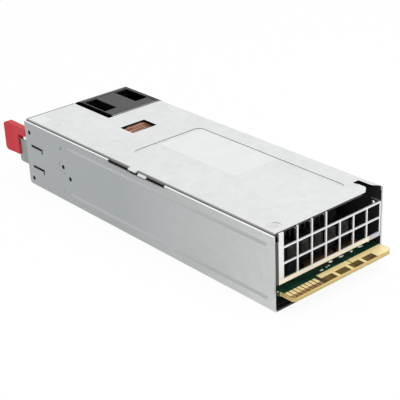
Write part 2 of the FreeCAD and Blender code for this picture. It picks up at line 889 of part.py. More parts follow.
def socket_outline(grow):
    w = socket_w / 2 + grow
    h = socket_h / 2 + grow
    c = socket_chamfer
    x = socket_x
    z = socket_z
    return [(x - w, z - h, 1.0), (x + w, z - h, 1.0), (x + w, z + h - c, 0), (x + w - c, z + h, 0),
            (x - w + c, z + h, 0), (x - w, z + h - c, 0)]


def handle_ear(x0, x1):
    r = stub_d / 2 + 1.3
    outline = [
        (front_y, bail_z0 - r - 0.8, 0),
        (front_y, bail_z0 + r + 0.8, 0),
        (bail_y - r, bail_z0 + r * 0.75, 1.2),
        (bail_y - r, bail_z0 - r * 0.75, 1.2),
    ]
    return plate_yz(outline, x0, x1).cut(disc_x(stub_d / 2 + stub_fit, x0 - 1, x1 + 1, bail_y, bail_z0))


def ear_faces():
    """Inner faces of the two handle ears."""
    return bail_x0 - ear_gap, bail_x1 + ear_gap


def front_panel():
    x1 = flange_x
    step_x = inlet_plate_x1 + inlet_gap + lap_gap
    outline = [
        (-flange_x, panel_foot, 0),
        (x1, panel_foot, 0),
        (x1, latch_slot_z0, 0),
        (latch_slot_x, latch_slot_z0, 0),
        (latch_slot_x, latch_slot_z1, 0),
        (x1, latch_slot_z1, 0),
        (x1, panel_top, 0),
        (step_x, panel_top, 0),
        (step_x, plate_z - lap_gap, 0),
        (-flange_x, plate_z - lap_gap, 0),
    ]
    panel = plate_xz(outline, front_y, front_y + sheet)
    y0 = front_y
    roof_flange = box(step_x + 2, latch_slot_x, y0, y0 + panel_flange, panel_top - sheet, panel_top)
    foot = box(-flange_x, x1, y0, floor_front - lap_gap, panel_foot, panel_foot + sheet)
    lugs = []
    for z0, z1 in ((panel_foot + 1.2, latch_slot_z0 - 0.4), (latch_slot_z1 + 1, roof - cover_flange - seam)):
        lugs.append(box(x1 - sheet, x1, y0, y0 + lug_len, z0, z1))
    left, right = ear_faces()
    ears = [handle_ear(left - ear_t, left), handle_ear(right, right + ear_t)]
    panel = join([panel, roof_flange, foot] + lugs + ears)
    cuts = honeycomb()
    cuts.append(plate_xz(socket_outline(lap_gap), y0 - 1, y0 + sheet + 1))
    for place in fan_screw_places():
        cuts.append(flat_hole(place, fan_head_d, fan_screw_d))
    cuts.append(disc_y(light_d / 2 + lap_gap / 2, light_x, y0 - 1, y0 + sheet + 1, light_z, hole_sides))
    for y, z in wall_holes()[:2]:
        cuts.append(disc_x(screw_hole_d / 2, x1 - sheet - 1, x1 + 1, y, z, hole_sides))
    return panel.cut(Part.makeCompound(cuts))


# ------------------------------------------------------------------ fan
def bevelled_square(side, bevel):
    """Eight corners round the fan's axis: sides at distance side, each of half length bevel."""
    corners = []
    for u, v in ((side, -bevel), (side, bevel), (bevel, side), (-bevel, side),
                 (-side, bevel), (-side, -bevel), (-bevel, -side), (bevel, -side)):
        corners.append((fan_x + u, fan_z + v, 0))
    return corners


def fan_frame():
    """Square flanges front and back, a bevelled waist between them, and the motor's base on struts."""
    flange = bevelled_square(fan_size / 2, fan_size / 2 - fan_corner)
    front = plate_xz(flange, fan_y0, fan_y0 + fan_flange)
    back = plate_xz(flange, fan_y1 - fan_flange, fan_y1)
    waist = bevelled_square(barrel_r, barrel_r * 0.45)
    frame = join([front, back, plate_xz(waist, fan_y0, fan_y1)])
    frame = frame.cut(disc_y(bore_r, fan_x, fan_y0 - 1, fan_y1 + 1, fan_z, bore_sides))
    base_y1 = fan_y0 + base_t
    reach = bore_r + bore_wall / 2
    strut = box(-reach, reach, fan_y0, base_y1, -strut_w / 2, strut_w / 2)
    struts = [turned(strut, angle, fan_x, fan_z) for angle in (45, 135)]
    base = disc_y(hub_r, fan_x, fan_y0, base_y1, fan_z, hub_sides)
    tube = disc_y(tube_r, fan_x, fan_y0, fan_y0 + tube_len, fan_z, hole_sides)
    frame = join([frame, base, tube] + struts)
    cuts = [disc_y(shaft_d / 2 + pin_fit, fan_x, fan_y0 + 1.0, fan_y1, fan_z)]
    for x, _, z, _ in fan_screw_places():
        cuts.append(disc_y(fan_screw_d / 2 + screw_fit, x, fan_y0 - 1, fan_y1 + 1, z, screw_sides))
    return frame.cut(Part.makeCompound(cuts))


def blade_section(r, chord, pitch, middle):
    """Flat section of a blade, square to the radius, in the plane at distance r from the axis."""
    slope = math.radians(pitch)
    points = []
    for along, across in ((-1, -1), (1, -1), (1, 1), (-1, 1)):
        side = along * chord / 2 * math.cos(slope) - across * blade_t / 2 * math.sin(slope)
        y = along * chord / 2 * math.sin(slope) + across * blade_t / 2 * math.cos(slope)
        points.append(V(side, middle + y, r))
    return points


def fan_blade():
    """One twisted blade over sections at the hub's wall, half way out and at the tip."""
    middle = fan_y1 - rotor_back - hub_len / 2
    half_tip = blade_chord_tip / 2 * math.cos(math.radians(blade_pitch_tip)) + blade_t / 2
    reach = bore_r * math.cos(math.pi / bore_sides) - tip_gap
    tip = math.sqrt(reach ** 2 - half_tip ** 2)
    root = hub_r - hub_wall * 0.8
    chord = (blade_chord_hub + blade_chord_tip) / 2
    pitch = (blade_pitch_hub + blade_pitch_tip) / 2
    return skin([
        blade_section(root, blade_chord_hub, blade_pitch_hub, middle),
        blade_section((root + tip) / 2, chord, pitch, middle),
        blade_section(tip, blade_chord_tip, blade_pitch_tip, middle),
    ], False)


def fan_rotor():
    y1 = fan_y1 - rotor_back
    y0 = y1 - hub_len
    cup = disc_y(hub_r, fan_x, y0, y1, fan_z, hub_sides)
    cup = cup.cut(disc_y(hub_r - hub_wall, fan_x, y0 - 1, y1 - hub_cap, fan_z, hub_sides))
    blade = fan_blade()
    blades = [turned(blade, 360.0 * i / blade_count, fan_x, fan_z) for i in range(blade_count)]
    return join([cup] + blades)


def fan_shaft():
    """Shaft pressed into the hub's cap, running in the bore of the base's tube."""
    return disc_y(shaft_d / 2, fan_x, fan_y0 + 1.6, fan_y1 - rotor_back - hub_cap, fan_z)



# ------------------------------------------------------------------ AC inlet
def inlet_wells():
    y0 = front_y + well_front
    left = -half_w + well_left
    right = inlet_plate_x1 - well_right
    return [(left, left + well_w, y0, y0 + well_len), (right - well_w, right, y0, y0 + well_len)]


def inlet_housing():
    y0 = front_y + sheet
    y1 = front_y + inlet_depth
    body = box(inlet_x0, inlet_x1, y0, y1, inlet_z0, body_height)
    plate = box(-half_w, inlet_plate_x1, front_y, y1, plate_z, body_height)
    well_floor = body_height - well_depth
    wells = inlet_wells()
    bulge_x = wells[1][1] + well_wall
    bulge_y0 = fan_y0 + fan_flange + seam
    bulge_y1 = fan_y1 - fan_flange - seam
    bulge = box(inlet_x1 - 1, bulge_x, bulge_y0, bulge_y1, well_floor - 1, body_height)
    housing = join([body, plate, bulge])
    housing = fillet_along(housing, (0, 1, 0), 0.8, lambda c: c.z > body_height - 0.1 and c.x < -half_w + 0.1)
    cuts = []
    for x0, x1, wy0, wy1 in wells:
        cuts.append(box(x0, x1, wy0, wy1, plate_z - 0.4, body_height + 1))
        inner_y0 = max(wy0, bulge_y0 + well_wall)
        inner_y1 = min(wy1, bulge_y1 - well_wall)
        cuts.append(box(x0, x1, inner_y0, inner_y1, well_floor, body_height + 1))
    x0 = -half_w + groove_inset
    x1 = inlet_plate_x1 - groove_inset
    z0 = body_height - groove_depth
    groove_y0 = front_y + groove_inset
    groove_y1 = y1 - groove_inset
    w = groove_w
    groove = box(x0, x1, groove_y0, groove_y1, z0, body_height + 1)
    island = box(x0 + w, x1 - w, groove_y0 + w, groove_y1 - w, z0 - 1, body_height + 2)
    cuts.append(groove.cut(island))
    cuts.append(plate_xz(socket_outline(0), y0 - 1, front_y + socket_depth))
    left = inlet_x0 + socket_wall
    right = inlet_x1 - socket_wall
    back = front_y + socket_depth + socket_back
    cuts.append(box(left, right, back, y1 + 1, inlet_z0 + socket_wall, well_floor - socket_wall))
    cuts.append(box(left, right, y0 - 1, back + 1, inlet_z0 - 1, socket_z - socket_h / 2 - socket_wall))
    for x, z in pin_places():
        w = blade_pin_w / 2
        h = blade_pin_h / 2
        cuts.append(box(x - w, x + w, front_y + socket_depth - 1, y1 + 1, z - h, z + h))
    light_r = light_d / 2 + lap_gap / 2
    cuts.append(disc_y(light_r, light_x, y0 - 1, y0 + light_len + lap_gap, light_z, hole_sides))
    return housing.cut(Part.makeCompound(cuts))


def pin_places():
    return [(socket_x - pin_spread / 2, socket_z), (socket_x + pin_spread / 2, socket_z),
            (socket_x, socket_z + earth_rise)]


def inlet_pins():
    y0 = front_y + blade_pin_inset
    pins = []
    for x, z in pin_places():
        pin = box(x - blade_pin_w / 2, x + blade_pin_w / 2, y0, y0 + blade_pin_len,
                  z - blade_pin_h / 2, z + blade_pin_h / 2)
        pins.append(pin.makeChamfer(0.5, [e for e in pin.Edges if abs(e.CenterOfMass.y - y0) < 1e-6]))
    return group(pins)


def status_light():
    return disc_y(light_d / 2, light_x, front_y - 0.4, front_y + sheet + light_len, light_z, hole_sides)


# ------------------------------------------------------------------ latch
def latch_plate():
    z0 = tooth_z0 - tooth_t / 2
    z1 = tooth_z1 + tooth_t / 2
    neck = latch_neck
    rear = pin_y
    outline = [
        (latch_front, tab_z0 + 2, 0),
        (tab_rear - 1.2, tab_z0 + 2, 0),
        (tab_rear - 1.2, z0 - 1.1, 1.8),
        (front_y - 1.5, z0 - 1.1, 0),
        (front_y + 1, z0, 0),
        (slit_y0 + latch_taper_y0, z0, 0),
        (slit_y0 + latch_taper_y1, z0 + neck, 0),
        (rear, z0 + neck, 0),
        (rear, z1 - neck, 0),
        (slit_y0 + latch_taper_y1, z1 - neck, 0),
        (slit_y0 + latch_taper_y0, z1, 0),
        (tab_rear - 1.2, z1, 0),
        (tab_rear - 1.2, tab_arm_z + 2.2, 0),
        (latch_front, tab_arm_z + 2.2, 0),
    ]
    web = plate_yz(outline, web_x0, web_x1)
    knuckle = disc_z(knuckle_r, pin_x, pin_y, z0 + neck, z1 - neck)
    teeth = []
    y0 = slit_y0 + 0.6
    tip = half_w + tooth_out
    for z in (tooth_z0, tooth_z1):
        tooth = [(web_x0, y0, 0), (tip - 0.3, y0 + 0.2, 0), (tip, y0 + 1.4, 0.5),
                 (web_x1, y0 + tooth_len, 0), (web_x0, y0 + tooth_len, 0)]
        teeth.append(plate_xy(tooth, z - tooth_t / 2, z + tooth_t / 2))
    plate = join([web, knuckle] + teeth)
    return plate.cut(disc_z(pin_d / 2 + pin_fit, pin_x, pin_y, z0, z1))


def latch_tab():
    x0 = web_x1 + 0.9 - tab_t
    outline = [
        (tab_front, tab_z0, 2.5),
        (tab_rear, tab_z0, 0.8),
        (tab_rear, tab_arm_z, 1.2),
        (tab_arm_rear, tab_arm_z, 0.8),
        (tab_arm_rear, tab_z1, 0.8),
        (tab_front, tab_z1, 2.5),
    ]
    slab = plate_yz(outline, x0, x0 + tab_t + tab_flare)
    bend_y = tab_front + 8.6
    face = x0 + tab_t
    skim = [(face, tab_arm_rear + 1, 0), (face, bend_y, 0), (face + tab_flare, tab_front - 1, 0),
            (face + tab_flare + 1, tab_front - 1, 0), (face + tab_flare + 1, tab_arm_rear + 1, 0)]
    slab = slab.cut(plate_xy(skim, tab_z0 - 1, tab_z1 + 1))
    return slab.cut(latch_plate())


def latch_bracket():
    z0 = tooth_z0 - tooth_t / 2 + latch_neck - bracket_gap
    z1 = tooth_z1 + tooth_t / 2 - latch_neck + bracket_gap
    x0 = inner_x - bracket_t
    base = box(x0, inner_x, bracket_y0, bracket_y1, bracket_z0, bracket_z1)
    window = box(x0 - 1, inner_x + 1, bracket_y0 - 1, pin_y + knuckle_r + 0.4, z0, z1)
    base = base.cut(window)
    ears = []
    ear_x = pin_x - knuckle_r - 0.3
    ear = [
        (ear_x, pin_y - bracket_ear_tip, 0),
        (inner_x, pin_y - bracket_ear_root, 0),
        (inner_x, pin_y + bracket_ear_root, 0),
        (ear_x, pin_y + bracket_ear_tip, 0),
    ]
    for low in (z0 - bracket_t, z1):
        ears.append(plate_xy(ear, low, low + bracket_t))
    bracket = join([base] + ears)
    cuts = [disc_z(pin_d / 2, pin_x, pin_y, z0 - 3, z1 + 3)]
    cuts.append(disc_x(screw_hole_d / 2, x0 - 1, inner_x + 1, tool_hole_y, tool_hole_z, hole_sides))
    return bracket.cut(Part.makeCompound(cuts))


def latch_pin():
    z0 = tooth_z0 - tooth_t / 2 + latch_neck - bracket_gap - bracket_t - 0.6
    z1 = tooth_z1 + tooth_t / 2 - latch_neck + bracket_gap + bracket_t + 0.6
    return disc_z(pin_d / 2, pin_x, pin_y, z0, z1)


def latch_spring():
    """Bowed leaf between the latch plate and the fan's side."""
    z0 = fan_z - spring_w / 2
    z1 = fan_z + spring_w / 2
    y_mid = fan_y1 - fan_depth * spring_ahead
    ahead = y_mid - spring_len / 2
    rear = y_mid + spring_len / 2
    x_out = web_x0 - spring_end_gap
    x_in = x_out - spring_t
    bow_x = fan_x + fan_size / 2 + spring_bow_gap
    outer = Part.Arc(V(x_out, ahead, z0), V(bow_x + spring_t, y_mid, z0), V(x_out, rear, z0)).toShape()
    inner = Part.Arc(V(x_in, rear, z0), V(bow_x, y_mid, z0), V(x_in, ahead, z0)).toShape()
    end_a = Part.makeLine(V(x_out, rear, z0), V(x_in, rear, z0))
    end_b = Part.makeLine(V(x_in, ahead, z0), V(x_out, ahead, z0))
    return Part.Face(Part.Wire([outer, end_a, inner, end_b])).extrude(V(0, 0, z1 - z0))


# ------------------------------------------------------------------ handle
def handle_bail():
    """Stamped U shaped handle, folded up against the panel, with a round stub in each ear."""
    y0 = bail_y - bail_t / 2
    y1 = bail_y + bail_t / 2
    foot = bail_z0 - bail_t / 2
    outer = [(bail_x0, foot, 0), (bail_x1, foot, 0), (bail_x1, bail_z1, bail_r), (bail_x0, bail_z1, bail_r)]
    inner_r = bail_r - bail_w * 0.6
    inner = [(bail_x0 + bail_w, foot - 1, 0), (bail_x1 - bail_w, foot - 1, 0),
             (bail_x1 - bail_w, bail_z1 - bail_w, inner_r), (bail_x0 + bail_w, bail_z1 - bail_w, inner_r)]
    bail = plate_xz(outer, y0, y1).cut(plate_xz(inner, y0 - 1, y1 + 1))
    left, right = ear_faces()
    reach = ear_t + 0.4
    stubs = [disc_x(stub_d / 2, left - reach, bail_x0 + 1, bail_y, bail_z0)]
    stubs.append(disc_x(stub_d / 2, bail_x1 - 1, right + reach, bail_y, bail_z0))
    return join([bail] + stubs)


# ------------------------------------------------------------------ main board
def board_corners():
    return [(side * standoff_x, y) for y in standoff_ys for side in (-1, 1)]


def main_board():
    outline = [
        (-board_half_w, board_front, 0),
        (board_half_w, board_front, 0),
        (board_half_w, rear_y - tongue_inset, 0),
        (tongue_x1, rear_y, 0),
        (tongue_x1, tip_y - tip_chamfer, 0),
        (tongue_x1 - tip_chamfer, tip_y, 0),
        (-board_half_w + tip_chamfer, tip_y, 0),
        (-board_half_w, tip_y - tip_chamfer, 0),
    ]
    board = plate_xy(outline, board_bottom, board_top)
    tip = [e for e in board.Edges if abs(e.CenterOfMass.y - tip_y) < 1e-6 and e.Length > finger_pitch]
    board = board.makeChamfer(tip_bevel, tip)
    radius = board_screw_d / 2 + lap_gap
    holes = [disc_z(radius, x, y, board_bottom - 1, board_top + 1, screw_sides) for x, y in board_corners()]
    return board.cut(Part.makeCompound(holes))


def both_faces(corners):
    """A pad on the board's top face and its twin underneath."""
    upper = plate_xy(corners, board_top, board_top + pad_t)
    return [upper, plate_xy(corners, board_bottom - pad_t, board_bottom)]


def power_pads():
    y0 = rear_y + power_start
    y1 = tip_y - tip_bevel
    x0 = -board_half_w + pad_inset
    left_end = power_split_x - power_gap / 2
    left = [(x0, y0, 0), (left_end, y0, 0), (left_end, y1, 0), (x0 + pad_cut, y1, 0), (x0, y1 - pad_cut, 0)]
    right = rectangle(power_split_x + power_gap / 2, power_edge_x, y0, y1, 0)
    return group(both_faces(left) + both_faces(right))


def signal_pads():
    y0 = rear_y + finger_start
    y1 = tip_y - tip_bevel
    x0 = finger_last - finger_w
    outer = [(x0, y0, 0), (finger_last, y0, 0), (finger_last, y1 - pad_cut, 0),
             (finger_last - pad_cut, y1, 0), (x0, y1, 0)]
    pads = both_faces(outer)
    for i in range(1, finger_count):
        x1 = finger_last - i * finger_pitch
        pads.extend(both_faces(rectangle(x1 - finger_w, x1, y0, y1, 0)))
    return group(pads)


def board_standoffs():
    """Hexagonal posts between the floor and the board."""
    r = standoff_d / math.sqrt(3)
    posts = []
    for x, y in board_corners():
        outline = [(x + r * math.cos(math.radians(60 * k)), y + r * math.sin(math.radians(60 * k)), 0)
                   for k in range(6)]
        hole = disc_z(board_screw_d / 2, x, y, board_bottom - board_thread, board_bottom, screw_sides)
        posts.append(plate_xy(outline, sheet, board_bottom).cut(hole))
    return group(posts)


def board_screws():
    """Pan head screws through the board into the posts' threads."""
    screws = []
    for x, y in board_corners():
        head = disc_z(board_head_d / 2, x, y, board_top, board_top + board_head_h, screw_sides)
        foot = board_bottom - board_thread + lap_gap
        shank = disc_z(board_screw_d / 2, x, y, foot, board_top, screw_sides)
        screws.append(head.fuse(shank))
    return group(screws)


def insulator_sheet():
    x1 = inner_x - film_edge
    film = box(-x1, x1, board_front - 1, rear_y - 3, sheet, sheet + film_t)
    side = 2 * standoff_d / math.sqrt(3) + 2 * seam
    holes = [block(x, y, 0, side, side, 5) for x, y in board_corners()]
    return film.cut(Part.makeCompound(holes))


# ------------------------------------------------------------------ parts on the board
def choke_core():
    """Drum core lying along Y: a leg between two round flanges."""
    y0 = choke_y - choke_w / 2
    y1 = choke_y + choke_w / 2
    leg = disc_y(choke_hole_r - seam, choke_x, y0, y1, choke_z, choke_sides)
    flanges = []
    flange_r = choke_r - choke_flange_drop
    for y in (y0, y1 - choke_flange_t):
        flanges.append(disc_y(flange_r, choke_x, y, y + choke_flange_t, choke_z, choke_sides))
    return join([leg] + flanges)


def choke_leads(grow):
    """The winding's two ends, flattened, going down to the board."""
    size = choke_lead_d + 2 * grow
    height = choke_z - choke_r + choke_lead_rise - board_top
    return [block(choke_x + side * choke_lead_x, choke_y, board_top, size, size, height) for side in (-1, 1)]


def choke_winding():
    """Coil of thick wire round the core's leg, grooved between its turns."""
    width = choke_w - 2 * (choke_flange_t + seam)
    pitch = width / choke_wires
    y0 = choke_y - width / 2
    profile = [(y0, choke_r - choke_rib)]
    for i in range(choke_wires):
        start = y0 + i * pitch
        profile.append((start + 0.3 * pitch, choke_r))
        profile.append((start + 0.7 * pitch, choke_r))
        profile.append((start + pitch, choke_r - choke_rib))
    coil = skin([polygon(r, choke_sides, choke_x, y, choke_z, (0, 1, 0)) for y, r in profile], True)
    coil = coil.cut(disc_y(choke_hole_r, choke_x, y0 - 1, y0 + width + 1, choke_z, choke_sides))
    return join([coil] + choke_leads(0))


def choke_base():
    base = block(choke_x, choke_y, board_top, choke_base_w, choke_w + choke_base_edge,
                 choke_base_t + choke_base_rim)
    base = base.cut(disc_y(choke_r, choke_x, choke_y - choke_w, choke_y + choke_w, choke_z))
    return base.cut(Part.makeCompound(choke_leads(lap_gap)))


def soft_box(x0, x1, y, l, h, edge):
    """Boxed part standing on the board, with bevelled upper edges."""
    shape = box(x0, x1, y - l / 2, y + l / 2, board_top, board_top + h)
    return shape.makeChamfer(edge, [e for e in shape.Edges if e.CenterOfMass.z > board_top + edge / 10])


def x_capacitor():
    return soft_box(film_x0, film_x1, choke_y + film_behind, film_l, film_h, 0.6)


def y_capacitors():
    x0 = choke_x + choke_r + y_cap_gap
    x1 = fuse_x1 - fuse_w - fuse_gap
    half = y_cap_pitch / 2
    return group([soft_box(x0, x1, y, y_cap_l, y_cap_h, 0.4) for y in (choke_y - half, choke_y + half)])


def fuse_link():
    """Square ceramic fuse with a metal cap at each end."""
    x = fuse_x1 - fuse_w / 2
    middle = fuse_y0 + fuse_l / 2
    parts = [block(x, middle, board_top, fuse_body_w, fuse_l - fuse_cap_l, fuse_body_w)]
    for side in (-1, 1):
        y = middle + side * (fuse_l - fuse_cap_l) / 2
        parts.append(block(x, y, board_top, fuse_w, fuse_cap_l, fuse_w))
    return join(parts)


def relay_box():
    return soft_box(relay_x0, relay_x0 + relay_w, choke_y + relay_behind, relay_l, relay_h, 0.5)


def rectifier():
    """Bridge rectifier standing on its legs against the finned plate."""
    y0 = plate_y0 - rectifier_t
    z0 = board_top + sheet
    z1 = board_top + rectifier_h
    x0 = plate_x0 + rectifier_inset
    x1 = plate_x1 - rectifier_inset
    bevel = 3.0
    outline = [(x0, z0, 0), (x1, z0, 0), (x1, z1, 0), (x0 + bevel, z1, 0), (x0, z1 - bevel, 0)]
    body = plate_xz(outline, y0, plate_y0)
    legs = []
    step = (x1 - x0 - 2 * rectifier_leg_side) / 3
    for i in range(4):
        x = x0 + rectifier_leg_side + i * step
        legs.append(block(x, y0 + rectifier_t / 2, board_top, rectifier_leg_w, rectifier_leg_t, 2 * sheet))
    return join([body] + legs)


def rectifier_sink():
    y0 = plate_y0
    parts = [box(plate_x0, plate_x1, y0, y0 + plate_t, board_top, board_top + plate_h)]
    for i in range(plate_fins):
        z = board_top + plate_fin_z + i * plate_fin_pitch
        parts.append(box(plate_x0, plate_x1, y0 + plate_t / 2, y0 + plate_fin_l, z, z + sink_fin_t))
    return join(parts)


def boost_choke():
    """Second choke: a bobbin wound between the halves of an E core."""
    x = boost_x1 - boost_w / 2
    y = choke_y + boost_behind
    core = block(x, y, board_top, boost_w, boost_l, boost_h)
    coil = block(x, y, board_top + boost_coil_z, boost_coil_w, boost_coil_l, boost_coil_h)
    middle = board_top + boost_coil_z + boost_coil_h / 2
    coil = coil.makeChamfer(2.0, [e for e in coil.Edges if abs(e.CenterOfMass.z - middle) < 1e-6])
    return join([core, coil])


def can(x, y, d, h, sides):
    """Faceted capacitor can with a bevelled top edge."""
    bevel = d * 0.06
    top = board_top + h
    body = disc_z(d / 2, x, y, board_top, top - bevel, sides)
    return body.fuse(taper(d / 2, d / 2 - bevel, x, y, top - bevel, bevel, (0, 0, 1), sides))


def bulk_capacitors():
    cans = []
    for i in (-1, 0, 1):
        y = cap_y + (cap_shift if i > 0 else 0.0)
        cans.append(can(i * cap_pitch, y, cap_d, cap_h, 2 * hole_sides))
    return group(cans)


def primary_heatsink():
    x0 = sink_x - sink_w / 2
    base = box(x0, x0 + sink_base_t, sink_y - sink_l / 2, sink_y + sink_l / 2, board_top, board_top + sink_h)
    fins = []
    step = (sink_h - sink_fin_t) / (sink_fins - 1)
    for i in range(sink_fins):
        z = board_top + i * step
        fins.append(box(x0, x0 + sink_w, sink_y - sink_l / 2, sink_y + sink_l / 2, z, z + sink_fin_t))
    return join([base] + fins)


def power_transistors():
    x1 = sink_x - sink_w / 2
    half = transistor_w / 2
    z0 = board_top + transistor_z
    parts = []
    for i in range(transistor_count):
        y = sink_y + (i - (transistor_count - 1) / 2) * transistor_pitch
        tab = box(x1 - transistor_tab_t, x1, y - half, y + half, z0, z0 + transistor_tab_h)
        body = box(x1 - transistor_t, x1, y - half, y + half, z0, z0 + transistor_h)
        leg_x = x1 - transistor_t / 2
        legs = []
        for step in (-1, 0, 1):
            legs.append(block(leg_x, y + step * leg_pitch, board_top, leg_t, leg_w, transistor_z + leg_w))
        parts.append(join([tab, body] + legs))
    return group(parts)


def transformer_core():
    """Ferrite frame round the coil, open towards the front and rear."""
    shell = block(core_x, core_y, board_top, core_w, core_l, core_h)
    z0 = board_top + core_yoke
    inside = block(core_x, core_y, z0, core_w - 2 * core_cheek, core_l + 2, core_h - 2 * core_yoke)
    return shell.cut(inside)


def transformer_winding():
    z0 = board_top + core_yoke
    return disc_z(coil_r, core_x, core_y, z0, board_top + core_h - core_yoke, 2 * hole_sides)


def resonant_inductor():
    y = core_y - core_l / 2 - inductor_gap - inductor_coil_l / 2
    core = block(inductor_x, y, board_top, inductor_w, inductor_l, inductor_h)
    coil_z = board_top + inductor_coil_z
    coil = block(inductor_x, y, coil_z, inductor_coil_w, inductor_coil_l, inductor_coil_h)
    return join([core, coil])


def standby_transformer():
    x = standby_x0 + standby_w / 2
    y = spread_y - standby_ahead
    core = block(x, y, board_top, standby_core_w, standby_core_l, standby_core_h)
    return join([core, block(x, y, board_top + standby_z, standby_w, standby_l, standby_h)])


def output_spreader():
    """Finned block on the rectifier transistors of the output stage."""
    y0 = spread_y - spread_l / 2
    base = box(spread_x0, spread_x1, y0, y0 + spread_l, board_top, board_top + spread_base_t)
    step = (spread_x1 - spread_x0 - sink_fin_t) / (spread_fins - 1)
    fins = []
    for i in range(spread_fins):
        x = spread_x0 + i * step
        fins.append(box(x, x + sink_fin_t, y0, y0 + spread_l, board_top, board_top + spread_h))
    return join([base] + fins)


def output_capacitors():
    x0 = -(out_cap_count - 1) * out_cap_pitch / 2
    cans = []
    for i in range(out_cap_count):
        cans.append(can(x0 + i * out_cap_pitch, out_cap_y, out_cap_d, out_cap_h, hole_sides))
    return group(cans)


def output_bus():
    y0 = out_cap_y + out_cap_d / 2 + bus_gap
    spans = [(-board_half_w + bus_inset, power_split_x - bus_gap), (power_split_x + bus_gap, power_edge_x)]
    bars = []
    for x0, x1 in spans:
        bars.append(box(x0, x1, y0, y0 + bus_l, board_top, board_top + bus_h))
    return group(bars)


def control_card():
    z1 = board_top + card_h
    card = box(card_x, card_x + card_t, cap_y - card_l / 2, cap_y + card_l / 2, board_top, z1)
    half = card_notch_l / 2
    x1 = card_x + card_t + 1
    return card.cut(box(card_x - 1, x1, cap_y - half, cap_y + half, z1 - card_notch_h, z1 + 1))


def control_chips():
    x0 = card_x + card_t
    parts = []
    for y, z, l, h in chips:
        yc = cap_y + y
        zc = board_top + z
        parts.append(box(x0, x0 + chip_t, yc - l / 2, yc + l / 2, zc - h / 2, zc + h / 2))
    return group(parts)


NODES = {
    "base_tray": base_tray,
    "top_cover": top_cover,
    "rear_grille": rear_grille,
    "case_screws": case_screws,
    "front_panel": front_panel,
    "fan_frame": fan_frame,
    "fan_rotor": fan_rotor,
    "fan_shaft": fan_shaft,
    "fan_screws": fan_screws,
    "inlet_housing": inlet_housing,
    "inlet_pins": inlet_pins,
    "status_light": status_light,
    "latch_plate": latch_plate,
    "latch_tab": latch_tab,
    "latch_bracket": latch_bracket,
    "latch_pin": latch_pin,
    "latch_spring": latch_spring,
    "handle_bail": handle_bail,
    "main_board": main_board,
    "power_pads": power_pads,
    "signal_pads": signal_pads,
    "board_standoffs": board_standoffs,
    "board_screws": board_screws,
    "insulator_sheet": insulator_sheet,
    "choke_core": choke_core,
    "choke_winding": choke_winding,
    "choke_base": choke_base,
    "x_capacitor": x_capacitor,
    "y_capacitors": y_capacitors,
    "fuse_link": fuse_link,
    "relay_box": relay_box,
    "rectifier": rectifier,
    "rectifier_sink": rectifier_sink,
    "boost_choke": boost_choke,
    "bulk_capacitors": bulk_capacitors,
    "primary_heatsink": primary_heatsink,
    "power_transistors": power_transistors,
    "transformer_core": transformer_core,
    "transformer_winding": transformer_winding,
    "resonant_inductor": resonant_inductor,
    "standby_transformer": standby_transformer,
    "output_spreader": output_spreader,
    "output_capacitors": output_capacitors,
    "output_bus": output_bus,
    "control_card": control_card,
    "control_chips": control_chips,
}

os.makedirs("parts", exist_ok=True)
for node, make in NODES.items():
    shape = make()
    shape.exportStep("parts/" + node + ".step")
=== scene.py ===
import json
import math

import bmesh
import bpy
from mathutils import Matrix, Vector

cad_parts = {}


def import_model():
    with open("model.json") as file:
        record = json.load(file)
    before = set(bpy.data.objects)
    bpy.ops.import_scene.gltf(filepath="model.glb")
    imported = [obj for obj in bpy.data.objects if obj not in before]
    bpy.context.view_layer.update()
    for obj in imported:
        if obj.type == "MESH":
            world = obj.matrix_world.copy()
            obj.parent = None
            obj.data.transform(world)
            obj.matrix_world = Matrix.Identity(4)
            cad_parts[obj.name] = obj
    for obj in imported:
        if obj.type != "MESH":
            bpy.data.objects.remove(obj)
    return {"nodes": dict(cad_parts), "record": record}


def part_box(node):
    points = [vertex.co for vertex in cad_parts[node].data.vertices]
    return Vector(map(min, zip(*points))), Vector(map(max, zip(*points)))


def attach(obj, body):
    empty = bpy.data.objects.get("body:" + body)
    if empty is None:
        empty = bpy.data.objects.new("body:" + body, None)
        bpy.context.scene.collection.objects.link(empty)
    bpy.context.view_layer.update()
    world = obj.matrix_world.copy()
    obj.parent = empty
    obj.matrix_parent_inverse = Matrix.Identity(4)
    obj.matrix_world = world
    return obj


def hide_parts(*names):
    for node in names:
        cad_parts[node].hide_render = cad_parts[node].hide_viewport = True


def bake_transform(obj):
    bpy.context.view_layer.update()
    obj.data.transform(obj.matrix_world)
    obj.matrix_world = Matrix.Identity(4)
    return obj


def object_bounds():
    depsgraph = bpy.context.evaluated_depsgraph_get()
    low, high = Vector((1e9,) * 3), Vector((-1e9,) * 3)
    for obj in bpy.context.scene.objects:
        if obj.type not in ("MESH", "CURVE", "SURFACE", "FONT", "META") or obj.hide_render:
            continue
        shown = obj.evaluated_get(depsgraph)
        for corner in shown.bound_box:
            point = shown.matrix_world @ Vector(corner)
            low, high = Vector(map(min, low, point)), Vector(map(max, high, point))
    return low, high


MM = 0.001
INSIDE_SHADE = (0.018, 0.018, 0.02)  # painted shade: near-black laid on inner faces that lie in shadow inside the case
BLACK = (0.006, 0.006, 0.006)  # shade in holes, slits and gaps; laid with metallic 1 it stays black

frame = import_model()
cad_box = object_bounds()
nodes = frame["nodes"]


